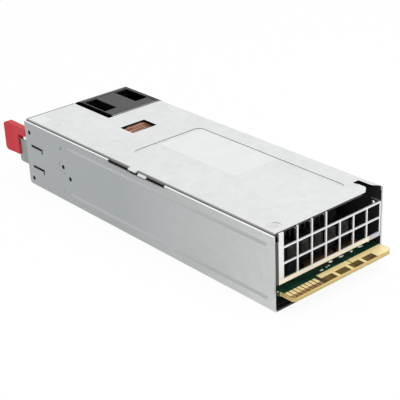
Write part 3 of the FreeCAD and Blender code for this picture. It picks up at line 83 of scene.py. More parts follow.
# ------------------------------------------------------------------ materials
class Graph:
    """A material's node tree with a Principled shader and short calls to add nodes."""

    def __init__(self, name):
        self.material = bpy.data.materials.new(name)
        self.material.use_nodes = True
        self.tree = self.material.node_tree
        self.shader = self.tree.nodes["Principled BSDF"]
        source = self.add("ShaderNodeTexCoord")
        self.place = source.outputs["Object"]
        self.x, self.y, self.z = self.parts(source.outputs["Object"])
        self.nx, self.ny, self.nz = self.parts(source.outputs["Normal"])

    def add(self, kind, **settings):
        node = self.tree.nodes.new(kind)
        for key, value in settings.items():
            setattr(node, key, value)
        return node

    def link(self, a, b):
        self.tree.links.new(a, b)

    def feed(self, socket, value):
        """Sets a socket to a number or a colour, or links another socket to it."""
        if isinstance(value, tuple):
            socket.default_value = (*value, 1.0)
        elif isinstance(value, (int, float)):
            socket.default_value = value
        else:
            self.link(value, socket)

    def set(self, **values):
        """Sets the shader's own sockets, with _ for a space in a name."""
        for key, value in values.items():
            self.shader.inputs[key.replace("_", " ")].default_value = value

    def parts(self, vector):
        """X, Y and Z of a vector."""
        node = self.add("ShaderNodeSeparateXYZ")
        self.link(vector, node.inputs[0])
        return node.outputs

    def over(self, value, limit):
        """1 where the value is over the limit."""
        return self.math("GREATER_THAN", value, limit)

    def under(self, value, limit):
        """1 where the value is under the limit."""
        return self.math("LESS_THAN", value, limit)

    def within(self, value, low, high):
        """1 where the value lies between two limits."""
        return self.all(self.over(value, low), self.under(value, high))

    def all(self, first, *others):
        """1 where every mask is 1."""
        for other in others:
            first = self.math("MULTIPLY", first, other)
        return first

    def any(self, first, *others):
        """1 where one of the masks is 1."""
        for other in others:
            first = self.math("MAXIMUM", first, other)
        return first

    def patches(self, colour, metallic, rough, areas):
        """Lays areas (mask, colour, metallic, roughness) over a finish and links the result."""
        metal = None
        for mask, tint, area_metal, area_rough in areas:
            colour = self.mix(mask, colour, tint)
            metal = self.blend(mask, metallic if metal is None else metal, area_metal)
            rough = self.blend(mask, rough, area_rough)
        self.colour(colour)
        self.roughness(rough)
        if metal is not None:
            self.link(metal, self.shader.inputs["Metallic"])

    def blend(self, factor, a, b):
        """Blend of two numbers, each a value or a socket."""
        node = self.add("ShaderNodeMix", data_type="FLOAT")
        self.link(factor, node.inputs["Factor"])
        self.feed(node.inputs[2], a)
        self.feed(node.inputs[3], b)
        return node.outputs[0]

    def scaled(self, x, y, z):
        """Object coordinates stretched by x, y, z."""
        mapping = self.add("ShaderNodeMapping")
        mapping.inputs["Scale"].default_value = (x, y, z)
        self.link(self.place, mapping.inputs["Vector"])
        return mapping.outputs["Vector"]

    def noise(self, scale, detail=3.0, roughness=0.5, vector=None):
        """Cloudy noise from 0 to 1, at a number of waves per metre."""
        node = self.add("ShaderNodeTexNoise")
        node.inputs["Scale"].default_value = scale
        node.inputs["Detail"].default_value = detail
        node.inputs["Roughness"].default_value = roughness
        self.link(vector or self.place, node.inputs["Vector"])
        return node.outputs["Fac"]

    def cells(self, scale, vector=None, distance="EUCLIDEAN"):
        """Voronoi cells, at a number of cells per metre."""
        node = self.add("ShaderNodeTexVoronoi", distance=distance)
        node.inputs["Scale"].default_value = scale
        self.link(vector or self.place, node.inputs["Vector"])
        return node

    def grey(self, colour):
        """The brightness of a colour socket."""
        node = self.add("ShaderNodeRGBToBW")
        self.link(colour, node.inputs[0])
        return node.outputs[0]

    def sum(self, a, share_a, b, share_b):
        """Two values added, each times its share."""
        return self.math("ADD", self.math("MULTIPLY", a, share_a), self.math("MULTIPLY", b, share_b))

    def span(self, value, low, high, from_low=0.3, from_high=0.7):
        """Maps from_low to from_high onto low to high, held at both ends."""
        node = self.add("ShaderNodeMapRange")
        node.inputs["From Min"].default_value = from_low
        node.inputs["From Max"].default_value = from_high
        node.inputs["To Min"].default_value = low
        node.inputs["To Max"].default_value = high
        self.link(value, node.inputs["Value"])
        return node.outputs["Result"]

    def mix(self, factor, a, b):
        """Blend of two colours, each a tuple or a socket."""
        node = self.add("ShaderNodeMix", data_type="RGBA")
        self.link(factor, node.inputs["Factor"])
        self.feed(node.inputs[6], a)
        self.feed(node.inputs[7], b)
        return node.outputs[2]

    def math(self, operation, a, b=0.0):
        node = self.add("ShaderNodeMath", operation=operation)
        self.feed(node.inputs[0], a)
        self.feed(node.inputs[1], b)
        return node.outputs[0]

    def bump(self, height, strength, distance):
        """Raises the surface by a height from 0 to 1 times a distance."""
        node = self.add("ShaderNodeBump")
        node.inputs["Strength"].default_value = strength
        node.inputs["Distance"].default_value = distance
        self.link(height, node.inputs["Height"])
        self.link(node.outputs["Normal"], self.shader.inputs["Normal"])

    def colour(self, socket):
        self.link(socket, self.shader.inputs["Base Color"])

    def roughness(self, socket):
        self.link(socket, self.shader.inputs["Roughness"])


def no_areas(g):
    return []


def zinc_sheet(name, base, metallic=0.8, rough=(0.34, 0.48), spangle=0.05, areas=no_areas):
    """Galvanised sheet: soft spangle, faint rolling marks along the case and cloudy sheen."""
    g = Graph(name)
    g.set(Metallic=metallic, Specular_IOR_Level=0.5)
    flakes = g.grey(g.cells(260.0).outputs["Color"])
    rolled = g.noise(1.0, 4.0, 0.6, g.scaled(1400.0, 22.0, 1400.0))
    cloud = g.noise(38.0, 3.0)
    dark = tuple(c * (1 - spangle) for c in base)
    light = tuple(min(1.0, c * (1 + spangle)) for c in base)
    tone = g.sum(g.sum(flakes, 0.35, cloud, 0.65), 0.7, rolled, 0.3)
    sheen = g.span(g.sum(rolled, 0.4, cloud, 0.6), *rough)
    g.patches(g.mix(g.span(tone, 0.0, 1.0, 0.32, 0.68), dark, light), metallic, sheen, areas(g))
    g.bump(g.noise(420.0, 4.0, 0.55), 0.12, 0.00008)
    return g.material


def plain_metal(name, base, rough, metallic=1.0, scale=500.0, bump=0.1, spread=0.06):
    """Smooth metal with fine marks and uneven sheen."""
    g = Graph(name)
    g.set(Metallic=metallic)
    fine = g.noise(scale, 4.0, 0.6)
    cloud = g.noise(scale / 9.0, 2.0)
    dark = tuple(c * (1 - spread) for c in base)
    g.colour(g.mix(g.span(cloud, 0.0, 1.0), dark, base))
    g.roughness(g.span(fine, rough * 0.85, min(1.0, rough * 1.2)))
    g.bump(fine, bump, 0.00005)
    return g.material


def moulded(name, base, rough, grain=900.0, bump=0.25, spread=0.18, sheen=0.5):
    """Moulded plastic with fine spark grain and slight handling marks."""
    g = Graph(name)
    g.set(Metallic=0.0, Specular_IOR_Level=sheen)
    grain_noise = g.noise(grain, 2.0, 0.6)
    cloud = g.noise(60.0, 3.0)
    light = tuple(min(1.0, c * (1 + spread)) for c in base)
    g.colour(g.mix(g.span(cloud, 0.0, 1.0), base, light))
    g.roughness(g.span(g.sum(grain_noise, 0.5, cloud, 0.5), rough * 0.85, min(1.0, rough * 1.15)))
    g.bump(grain_noise, bump, 0.00004)
    return g.material


def board_mask(name):
    """Green solder mask over copper areas and tracks, with painted shade inside the case and straw edges at
    the tongue.
    """
    g = Graph(name)
    g.set(Metallic=0.0, Coat_Weight=0.2, Coat_Roughness=0.2, Specular_IOR_Level=0.3)
    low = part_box("main_board")[0]
    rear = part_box("base_tray")[1].y
    pours = g.cells(170.0, g.scaled(1.0, 1.0, 0.0), distance="CHEBYCHEV")
    pour = g.span(g.grey(pours.outputs["Color"]), 0.0, 1.0, 0.45, 0.55)
    tracks = g.span(g.noise(1.0, 2.0, 0.5, g.scaled(900.0, 60.0, 1.0)), 0.0, 1.0, 0.45, 0.6)
    tone = g.sum(pour, 0.6, tracks, 0.4)
    green = g.mix(tone, (0.003, 0.026, 0.014), (0.008, 0.062, 0.034))
    layers = g.noise(1.0, 3.0, 0.6, g.scaled(30.0, 30.0, 5200.0))
    straw = g.mix(g.span(layers, 0.0, 1.0), (0.42, 0.29, 0.07), (0.74, 0.58, 0.24))
    level = 0.92  # a face whose normal is over this in z lies flat
    cut = g.all(g.under(g.nz, level), g.over(g.nz, -level), g.over(g.y, rear - 0.4 * MM))
    # painted shade on the board inside the case
    shade = g.under(g.y, rear - 5.0 * MM)
    tongue = g.all(g.over(g.nz, level), g.over(g.y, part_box("signal_pads")[0].y),
                   g.over(g.x, low.x + 6.0 * MM))
    g.patches(green, 0.0, g.span(g.noise(300.0, 3.0), 0.28, 0.42), [
        (shade, (0.003, 0.012, 0.008), 0.0, 0.5),
        (tongue, (0.05, 0.03, 0.008), 0.0, 0.4),
        (cut, straw, 0.0, 0.55),
    ])
    g.bump(tone, 0.3, 0.00003)
    return g.material


def enamel_wire(name, base, dark):
    """Enamelled copper wire with a warm varnish of uneven depth."""
    g = Graph(name)
    g.set(Metallic=0.6, Coat_Weight=0.4, Coat_Roughness=0.2)
    flow = g.noise(240.0, 3.0)
    g.colour(g.mix(g.span(flow, 0.0, 1.0), dark, base))
    g.roughness(g.span(g.noise(900.0), 0.28, 0.45))
    g.bump(g.noise(1500.0, 2.0), 0.15, 0.00004)
    return g.material


def grooved_wire(name, first, pitch):
    """Enamelled wire laid side by side: a painted highlight along each turn, brown flanks and painted shade
    in the grooves.
    """
    g = Graph(name)
    g.set(Coat_Weight=0.1, Coat_Roughness=0.3, Specular_IOR_Level=0.2)
    place = g.math("FRACT", g.math("DIVIDE", g.math("SUBTRACT", g.y, first), pitch))
    away = g.math("ABSOLUTE", g.math("SUBTRACT", place, 0.5))
    streak = g.noise(1.0, 2.0, 0.5, g.scaled(120.0, 900.0, 120.0))
    brown = g.mix(g.span(streak, 0.0, 1.0), (0.12, 0.036, 0.018), (0.40, 0.15, 0.08))
    # painted highlight along each turn and painted shade in the grooves between turns
    light = g.all(g.under(away, 0.13), g.over(streak, 0.5))
    groove = g.over(away, 0.33)
    g.patches(brown, 0.5, g.span(streak, 0.25, 0.4), [
        (light, (0.66, 0.44, 0.35), 0.4, 0.3),
        (groove, (0.02, 0.008, 0.005), 0.3, 0.5),
    ])
    return g.material


def gold_pads(name):
    """Gold plating with an uneven sheen, a painted dark reflection towards the tips of the power pads, and
    russet towards the tips of the signal pads.
    """
    g = Graph(name)
    fine = g.noise(500.0, 4.0, 0.6)
    cloud = g.noise(150.0, 2.0)
    gold = g.mix(g.span(cloud, 0.0, 1.0), (1.0, 0.77, 0.33), (1.0, 0.85, 0.44))
    low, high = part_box("main_board")
    # painted dark reflection, in brown, towards the tips of the power pads
    power_tip_reflection = g.span(g.y, 0.0, 1.0, high.y - 5.0 * MM, high.y - 4.5 * MM)
    # russet towards the tips of the signal pads
    signal_tips = g.span(g.y, 0.0, 1.0, high.y - 3.6 * MM, high.y - 2.8 * MM)
    pitch, pad = 9.2 * MM, 7.3 * MM
    start = low.x + 10.2 * MM
    comb = g.math("MODULO", g.math("SUBTRACT", g.x, start), pitch)
    power = g.all(g.within(g.x, start, start + 4 * pitch), g.under(comb, pad))
    signal = g.over(g.x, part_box("signal_pads")[0].x - 0.5 * MM)
    brown = g.mix(g.span(g.noise(260.0, 2.0), 0.0, 1.0), (0.07, 0.04, 0.006), (0.18, 0.11, 0.02))
    russet = g.mix(g.span(g.noise(420.0, 2.0), 0.0, 1.0), (0.20, 0.09, 0.03), (0.60, 0.38, 0.18))
    g.patches(gold, 0.15, g.span(fine, 0.34, 0.4), [
        (g.all(power, power_tip_reflection), brown, 0.3, 0.35),
        (g.all(signal, signal_tips), russet, 0.5, 0.3),
    ])
    g.bump(cloud, 0.04, 0.00005)
    return g.material


def paper(name, base):
    """Matt label stock with a faint fibre and a slightly uneven white."""
    g = Graph(name)
    g.set(Metallic=0.0, Specular_IOR_Level=0.35)
    cloud = g.noise(90.0, 3.0)
    fibre = g.noise(2600.0, 3.0, 0.65)
    dark = tuple(c * 0.96 for c in base)
    g.colour(g.mix(g.span(cloud, 0.0, 1.0), dark, base))
    g.roughness(g.span(fibre, 0.5, 0.7))
    g.bump(fibre, 0.15, 0.00003)
    return g.material


# Areas of a sheet that differ from its finish. A mask bounds each one by the direction its faces point in
# and by distances from the sides of a node's box: x runs to the right wall, y to the rear and z up.
def cover_areas(g):
    """Painted shade inside the cover, at its flange, cut edges, hook and recess edge, and along its bend and
    front rim, and the bare sticker.
    """
    low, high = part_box("top_cover")
    case_low, case_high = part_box("base_tray")
    core_low, core_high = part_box("choke_core")
    right, front, rear = case_high.x, case_low.y, case_high.y
    inside = g.any(g.under(g.nz, -0.5),
                   g.all(g.over(g.nx, 0.5), g.within(g.x, low.x + 0.65 * MM, low.x + 2.0 * MM)),
                   g.all(g.under(g.nx, -0.5), g.over(g.x, right - 5.0 * MM)))
    # painted shade along the bend at the cover's right edge
    bend = g.all(g.over(g.nx, 0.35), g.within(g.x, right - 3.0 * MM, right - 1.0 * MM),
                 g.over(g.z, high.z - 0.8 * MM))
    upright = g.all(g.under(g.nz, 0.5), g.over(g.nz, -0.5))
    cut_edge = g.all(upright, g.over(g.z, high.z - 1.1 * MM))
    round_core = 5.0 * MM
    window = g.all(cut_edge, g.within(g.x, core_low.x - round_core, core_high.x + round_core),
                   g.within(g.y, core_low.y - round_core, core_high.y + round_core))
    flange = g.all(g.over(g.nx, 0.6), g.within(g.x, right - 3.0 * MM, right - 1.2 * MM),
                   g.under(g.z, high.z - 0.5 * MM))
    lip = g.all(flange, g.over(g.z, high.z - 1.3 * MM))
    edge = g.all(g.over(g.ny, 0.7), g.over(g.y, rear - 1.5 * MM), g.over(g.x, low.x + 4.0 * MM))
    hook = g.all(cut_edge, g.within(g.x, low.x + 1.2 * MM, low.x + 14.0 * MM), g.over(g.y, rear - 14.0 * MM))
    # painted shade on the upright edge of the label's recess
    recess = g.all(upright, g.over(g.z, high.z - 0.31 * MM),
                   g.within(g.x, low.x + 9.0 * MM, right - 9.0 * MM),
                   g.within(g.y, front + 75.0 * MM, rear - 5.0 * MM))
    # painted shade along the front rim
    rim_shade = g.all(g.under(g.y, front + 0.9 * MM), g.over(g.z, high.z - 1.0 * MM))
    sticker = g.all(g.within(g.x, right - 11.3 * MM, right - 2.8 * MM),
                    g.within(g.y, front + 2.4 * MM, front + 13.0 * MM), g.over(g.z, high.z - 0.05 * MM))
    return [
        (inside, INSIDE_SHADE, 0.0, 0.45),
        (bend, (0.32, 0.32, 0.32), 0.8, 0.5),
        (window, (0.02, 0.02, 0.02), 1.0, 0.5),
        (flange, BLACK, 1.0, 0.5),
        (lip, (0.16, 0.16, 0.16), 0.8, 0.5),
        (edge, (0.05, 0.05, 0.05), 0.4, 0.5),
        (hook, (0.01, 0.01, 0.01), 1.0, 0.5),
        (recess, (0.10, 0.10, 0.10), 0.5, 0.5),
        (rim_shade, (0.16, 0.16, 0.17), 0.5, 0.5),
        (sticker, (0.75, 0.76, 0.76), 0.0, 0.5),
    ]


def tray_areas(g):
    """Painted shade inside the tray; on the right wall painted shade over its front and along two beads, a
    painted highlight on its upper edge, and the shade in its holes and weld marks."""
    low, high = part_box("base_tray")
    inside = g.any(g.all(g.under(g.nx, -0.5), g.over(g.x, high.x - 2.0 * MM)),
                   g.all(g.over(g.nz, 0.5), g.under(g.z, low.z + 2.0 * MM)),
                   g.all(g.over(g.ny, 0.5), g.under(g.z, low.z + 1.1 * MM), g.under(g.x, high.x - 1.5 * MM)))
    # painted highlight along the wall's upper edge
    edge = g.all(g.over(g.nz, 0.5), g.over(g.z, high.z - 0.5 * MM))
    wall = g.over(g.nx, 0.5)
    # painted shade along the two beads
    bead_shade = g.all(wall, g.within(g.y, low.y + 41.5 * MM, high.y - 4.5 * MM),
                  g.any(g.within(g.z, 5.4 * MM, 7.4 * MM),
                        g.within(g.z, high.z - 6.2 * MM, high.z - 4.2 * MM)))
    # painted shade that darkens the wall towards the front
    front = g.all(wall, g.span(g.y, 1.0, 0.0, low.y + 90.0 * MM, high.y))
    holes = g.all(g.under(g.nx, 0.5), g.over(g.nx, -0.5),
                  g.within(g.x, high.x - 1.05 * MM, high.x - 0.22 * MM),
                  g.within(g.y, low.y + 0.6 * MM, low.y + 46.0 * MM),
                  g.within(g.z, 3.2 * MM, high.z - 3.2 * MM))
    welds = g.all(wall, g.within(g.x, high.x - 0.3 * MM, high.x - 0.1 * MM), g.over(g.z, 27.0 * MM),
                  g.under(g.y, low.y + 41.0 * MM))
    return [
        (front, (0.39, 0.412, 0.415), 0.8, 0.42),
        (bead_shade, (0.48, 0.49, 0.495), 0.8, 0.42),
        (inside, INSIDE_SHADE, 0.0, 0.45),
        (edge, (0.95, 0.96, 0.96), 0.5, 0.4),
        (holes, BLACK, 1.0, 0.5),
        (welds, (0.20, 0.21, 0.215), 0.8, 0.5),
    ]


def grille_areas(g):
    """Painted shade on the flanges' inner faces and on the bend, and a painted warm reflection on most of the
    lower border, which is darker and bluer at its left end.
    """
    low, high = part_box("rear_grille")
    inside = g.any(g.all(g.under(g.nx, -0.5), g.over(g.x, high.x - 2.5 * MM)),
                   g.all(g.over(g.nx, 0.5), g.under(g.x, low.x + 2.0 * MM)), g.under(g.ny, -0.5))
    # painted shade on the rounded bend by the right wall
    bend = g.all(g.over(g.x, high.x - 1.75 * MM), g.over(g.nx, 0.15))
    # painted warm reflection of the gold pads on the lower border; its left end is darker and bluer
    border = g.all(g.under(g.z, low.z + 2.35 * MM), g.over(g.ny, 0.5))
    left_end = low.x + 8.0 * MM
    return [
        (g.all(border, g.under(g.x, left_end)), (0.60, 0.59, 0.64), 0.7, 0.4),
        (g.all(border, g.over(g.x, left_end)), (1.0, 0.93, 0.76), 0.15, 0.4),
        (bend, (0.10, 0.09, 0.085), 0.6, 0.5),
        (inside, INSIDE_SHADE, 0.0, 0.45),
    ]


def tooth_areas(g):
    """The latch's teeth, with painted shade on them where they stand in the slits of the wall."""
    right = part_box("base_tray")[1].x
    return [(g.over(g.x, right - 1.2 * MM), (0.02, 0.02, 0.02), 0.5, 0.5)]


def panel_areas(g):
    """Painted shade on the panel's inner face and lugs."""
    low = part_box("base_tray")[0]
    return [(g.over(g.y, low.y + 1.1 * MM), INSIDE_SHADE, 0.0, 0.5)]


def inlet_plastic(name):
    """Matt black moulding: a darker middle, a paler rear edge, painted shade in lines on the left, a black
    right edge and painted shade in the wells, with fine ribs."""
    g = Graph(name)
    g.set(Specular_IOR_Level=0.16, Specular_Tint=(0.0, 0.0, 0.0, 1.0))
    low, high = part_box("inlet_housing")
    grain = g.noise(900.0, 2.0, 0.6)
    cloud = g.noise(60.0, 3.0)
    base = g.mix(g.span(cloud, 0.0, 1.0), (0.080, 0.082, 0.085), (0.098, 0.10, 0.103))
    top = g.over(g.z, high.z - 0.1 * MM)
    border = 3.6 * MM
    middle = g.all(top, g.within(g.x, low.x + border, high.x - border),
                   g.within(g.y, low.y + border, high.y - border))
    rear = g.all(top, g.over(g.y, high.y - 2.4 * MM))
    strip = g.over(g.x, high.x - 2.6 * MM)
    # painted shade in the wells, with fine ribs
    deep = g.under(g.z, high.z - 0.3 * MM)
    lines = g.all(top, g.any(g.within(g.x, low.x + 0.8 * MM, low.x + 1.5 * MM),
                             g.within(g.x, low.x + 2.7 * MM, low.x + 3.3 * MM)))
    rib_turns = 3600.0  # radians per metre: a rib every 1.75 mm
    ribs = g.span(g.math("SINE", g.math("MULTIPLY", g.x, rib_turns)), 0.0, 1.0, -0.4, 0.6)
    well_shade = g.mix(ribs, (0.006, 0.006, 0.007), (0.022, 0.022, 0.024))
    g.patches(base, 0.0, g.span(g.sum(grain, 0.5, cloud, 0.5), 0.36, 0.5), [
        (middle, (0.068, 0.069, 0.071), 0.0, 0.45),
        (rear, (0.19, 0.192, 0.195), 0.0, 0.5),
        (lines, BLACK, 1.0, 0.5),
        (strip, (0.004, 0.004, 0.004), 1.0, 0.6),
        (deep, well_shade, 1.0, 0.6),
    ])
    g.bump(grain, 0.2, 0.00004)
    return g.material


MATERIALS = {
    "galvanised": zinc_sheet("galvanised", (0.74, 0.755, 0.76)),
    "screw_steel": plain_metal("screw_steel", (0.70, 0.70, 0.69), 0.3),
    "black_plastic": moulded("black_plastic", (0.016, 0.016, 0.018), 0.5),
    "bearing_steel": plain_metal("bearing_steel", (0.75, 0.75, 0.75), 0.2),
    "black_steel": plain_metal("black_steel", (0.02, 0.02, 0.022), 0.4, metallic=0.4),
    "inlet_plastic": inlet_plastic("inlet_plastic"),
    "nickel_pins": plain_metal("nickel_pins", (0.70, 0.67, 0.62), 0.25),
    "clear_lens": moulded("clear_lens", (0.55, 0.75, 0.55), 0.15),
    "spring_steel": plain_metal("spring_steel", (0.50, 0.51, 0.52), 0.34),
    "red_plastic": moulded("red_plastic", (0.53, 0.018, 0.028), 0.4, spread=0.12, sheen=0.22),
    "chrome_wire": plain_metal("chrome_wire", (0.74, 0.74, 0.74), 0.16),
    "board_green": board_mask("board_green"),
    "gold": gold_pads("gold"),
    "brass_posts": plain_metal("brass_posts", (0.70, 0.55, 0.28), 0.3),
    "film": moulded("film", (0.03, 0.03, 0.032), 0.45),
    "ferrite": moulded("ferrite", (0.03, 0.03, 0.033), 0.6, grain=500.0),
    "copper": enamel_wire("copper", (0.46, 0.19, 0.11), (0.20, 0.075, 0.04)),
    "grey_box": moulded("grey_box", (0.20, 0.20, 0.19), 0.5),
    "blue_disc": moulded("blue_disc", (0.02, 0.08, 0.30), 0.35),
    "glass_fuse": moulded("glass_fuse", (0.55, 0.55, 0.52), 0.2),
    "black_box": moulded("black_box", (0.014, 0.014, 0.015), 0.42),
    "sink_aluminium": plain_metal("sink_aluminium", (0.32, 0.32, 0.33), 0.42),
    "can_sleeve": moulded("can_sleeve", (0.012, 0.012, 0.016), 0.3),
    "tape_yellow": moulded("tape_yellow", (0.55, 0.38, 0.05), 0.35),
    "copper_bar": plain_metal("copper_bar", (0.14, 0.08, 0.05), 0.4),
}
PAPER = paper("label_paper", (0.765, 0.77, 0.775))


def dress(node, material):
    """Gives a CAD node its finish."""
    mesh = nodes[node].data
    mesh.materials.clear()
    mesh.materials.append(material)


for part in frame["record"]["subparts"]:
    dress(part["node"], MATERIALS[part["material_slot"]])
dress("top_cover", zinc_sheet("cover_sheet", (0.70, 0.71, 0.71), metallic=0.2, rough=(0.46, 0.58),
                              areas=cover_areas))
dress("base_tray", zinc_sheet("tray_sheet", (0.615, 0.62, 0.62), areas=tray_areas))
dress("latch_plate", zinc_sheet("latch_sheet", (0.285, 0.305, 0.29), areas=tooth_areas))
dress("front_panel", zinc_sheet("panel_sheet", (0.72, 0.735, 0.74), areas=panel_areas))
dress("rear_grille", zinc_sheet("grille_sheet", (0.86, 0.87, 0.87), metallic=0.7, areas=grille_areas))


# ------------------------------------------------------------------ pieces
SHARP = math.radians(35)  # edges over this angle stay sharp on a smooth piece
SLANT = Vector((0.31, 0.87, 0.38))  # a direction that no stretch of the turns runs along
ALONG = Vector((0.0, 1.0, 0.0))


def mesh_piece(name, bm, slot, body="chassis", smooth=True, material=None):
    """Turns a bmesh into a piece that rides on a body and takes a slot's finish, where these are named."""
    bmesh.ops.recalc_face_normals(bm, faces=bm.faces)
    mesh = bpy.data.meshes.new(name)
    bm.to_mesh(mesh)
    bm.free()
    obj = bpy.data.objects.new(name, mesh)
    bpy.context.scene.collection.objects.link(obj)
    mesh.materials.append(material or MATERIALS[slot])
    if smooth:
        mesh.shade_smooth()
        mesh.set_sharp_from_angle(angle=SHARP)
    if body:
        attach(obj, body)
    return obj


def skin(bm, a, b):
    """Faces between two rings of as many points."""
    for k in range(len(a)):
        j = (k + 1) % len(a)
        bm.faces.new((a[k], a[j], b[j], b[k]))


def rounded_outline(x0, x1, y0, y1, r, steps=6):
    """Points round a rectangle with rounded corners."""
    points = []
    corners = ((x1 - r, y1 - r, 0), (x0 + r, y1 - r, 90), (x0 + r, y0 + r, 180), (x1 - r, y0 + r, 270))
    for cx, cy, start in corners:
        for i in range(steps + 1):
            a = math.radians(start + 90 * i / steps)
            points.append((cx + r * math.cos(a), cy + r * math.sin(a)))
    return points


def sheet_piece(name, outline, z, thickness, slot, material):
    """A flat sheet with a softened upper edge, lying on z."""
    bm = bmesh.new()
    rings = []
    edge = thickness * 0.4
    cx = sum(p[0] for p in outline) / len(outline)
    cy = sum(p[1] for p in outline) / len(outline)
    for height, inset in ((0.0, 0.0), (thickness - edge, 0.0), (thickness, edge)):
        ring = []
        for x, y in outline:
            away = Vector((cx - x, cy - y))
            away.normalize()
            ring.append(bm.verts.new((x + away.x * inset, y + away.y * inset, z + height)))
        rings.append(ring)
    for low, high in zip(rings, rings[1:]):
        skin(bm, low, high)
    bm.faces.new(rings[-1])
    bm.faces.new(list(reversed(rings[0])))
    return mesh_piece(name, bm, slot, smooth=False, material=material)


def wire_ring(bm, centre, ahead, aside, radius, sides=10):
    """Ring of points round a wire that runs ahead, started from a direction aside."""
    side = ahead.cross(aside).normalized()
    up = ahead.cross(side)
    angles = [2 * math.pi * k / sides for k in range(sides)]
    return [bm.verts.new(centre + (side * math.cos(a) + up * math.sin(a)) * radius) for a in angles]


def tube(bm, points, radius):
    """Closed tube along a loop of points."""
    count = len(points)
    rings = []
    for i, p in enumerate(points):
        ahead = (points[(i + 1) % count] - points[i - 1]).normalized()
        rings.append(wire_ring(bm, p, ahead, SLANT, radius))
    for i in range(count):
        a, b = rings[i], rings[(i + 1) % count]
        best = min(range(len(b)), key=lambda s: (a[0].co - b[s].co).length)
        skin(bm, a, b[best:] + b[:best])


def open_tube(bm, points, radius):
    """Tube along an open line of points, closed by a cap at each end."""
    rings = []
    for i, p in enumerate(points):
        ahead = (points[min(i + 1, len(points) - 1)] - points[max(i - 1, 0)]).normalized()
        rings.append(wire_ring(bm, p, ahead, ALONG, radius))
    for a, b in zip(rings, rings[1:]):
        skin(bm, a, b)
    bm.faces.new(list(reversed(rings[0])))
    bm.faces.new(rings[-1])


def turn_points(centre, y, radius, shift, wave, steps=96):
    """One turn round the Y axis: a circle whose upper half is squared off towards the window."""
    points = []
    for step in range(steps):
        a = 2 * math.pi * step / steps
        power = 3.0 if math.cos(a) > 0 else 2.0  # of a superellipse, where 2 is a circle
        u = math.copysign(abs(math.sin(a)) ** (2 / power), math.sin(a))
        v = math.copysign(abs(math.cos(a)) ** (2 / power), math.cos(a))
        lean = wave * math.sin(3 * a)
        points.append(Vector((centre.x + shift + (radius - abs(shift)) * u, y + lean, centre.z + radius * v)))
    return points


def copper_turns():
    """The choke's thick enamelled turns in two layers round the drum core, the layers under them, and the
    wire's two ends."""
    low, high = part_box("choke_winding")
    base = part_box("choke_base")[0].z
    outer = (high.x - low.x) / 2
    first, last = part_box("choke_core")[0].y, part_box("choke_core")[1].y
    centre = Vector(((low.x + high.x) / 2, (low.y + high.y) / 2, high.z - outer))
    count, layers = 9, 2
    pitch = (last - first) / count
    wire = pitch / 2
    step_aside, step_in = 0.35 * MM, 1.7 * wire  # from turn to turn, and from layer to layer
    dip, wave = 0.12 * MM, 0.08 * MM  # how much the turns differ in radius, and how much each one wavers
    fit = 0.95  # of the wire's radius, so that the turns lie clear of each other
    bm = bmesh.new()
    for i in range(count):
        y = first + (i + 0.5) * pitch
        shift = (i - (count - 1) / 2) * step_aside
        for layer in range(layers):
            radius = outer - wire - layer * step_in - dip * (1 + math.sin(i * 2.4 + layer))
            tube(bm, turn_points(centre, y, radius, shift, wave * math.sin(i + 2 * layer)), wire * fit)
    mesh_piece("choke_turns", bm, "copper", material=grooved_wire("grooved_wire", first, pitch))

    drum = 5.4 * MM
    under_turns = outer - 3.2 * wire
    half = (high.y - low.y) / 2 - 0.3 * MM
    pack = bmesh.new()
    ring_section(pack, centre, drum, under_turns, half)
    mesh_piece("choke_layers", pack, "copper")

    aside, flare, rise = 5.2 * MM, 0.8 * MM, 2.0 * MM
    end_radius = 0.8 * MM
    foot, top = base + 0.1 * MM, centre.z - outer * 0.86
    ends = bmesh.new()
    for side in (-1, 1):
        x = centre.x + side * aside
        points = [Vector((x, centre.y, foot)), Vector((x, centre.y, top)),
                  Vector((x + side * flare, centre.y, top + rise))]
        open_tube(ends, points, end_radius)
    mesh_piece("choke_ends", ends, "copper")
    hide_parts("choke_winding")


def ring_section(bm, centre, inner, outer, half_width, steps=64):
    """Ring about the Y axis with a bevelled square section."""
    bevel = (outer - inner) * 0.12
    section = ((inner, -half_width + bevel), (inner + bevel, -half_width), (outer - bevel, -half_width),
               (outer, -half_width + bevel), (outer, half_width - bevel), (outer - bevel, half_width),
               (inner + bevel, half_width), (inner, half_width - bevel))
    rings = []
    for i in range(steps):
        a = 2 * math.pi * i / steps
        rings.append([bm.verts.new(centre + Vector((r * math.sin(a), y, r * math.cos(a))))
                      for r, y in section])
    for i in range(steps):
        skin(bm, rings[i], rings[(i + 1) % steps])


def dome(bm, x, y, z, radius, height, stretch=1.0, rings=4, sides=14):
    """Low dome of solder or a rivet's head lying on z."""
    angles = [2 * math.pi * k / sides for k in range(sides)]
    levels = []
    for i in range(rings):
        rise = math.pi / 2 * i / rings
        r = radius * math.cos(rise)
        level = z + height * math.sin(rise)
        levels.append([bm.verts.new((x + r * stretch * math.cos(a), y + r * math.sin(a), level))
                       for a in angles])
    top = bm.verts.new((x, y, z + height))
    for a, b in zip(levels, levels[1:]):
        skin(bm, a, b)
    for k in range(sides):
        bm.faces.new((levels[-1][k], levels[-1][(k + 1) % sides], top))
    bm.faces.new(list(reversed(levels[0])))


# each solder joint's x, distance in from the case's rear edge, radius (all in mm) and stretch along X
SOLDER = ((-4.6, 4.6, 1.5, 1.1), (-12.0, 4.3, 1.1, 1.7), (-19.1, 4.2, 1.0, 1.2), (-26.1, 4.5, 1.1, 1.8),
          (-32.4, 5.3, 0.9, 1.0), (-1.2, 2.2, 0.7, 1.0), (0.6, 1.9, 0.7, 1.0), (4.4, 1.5, 0.8, 1.6),
          (33.2, 1.7, 0.7, 1.0))


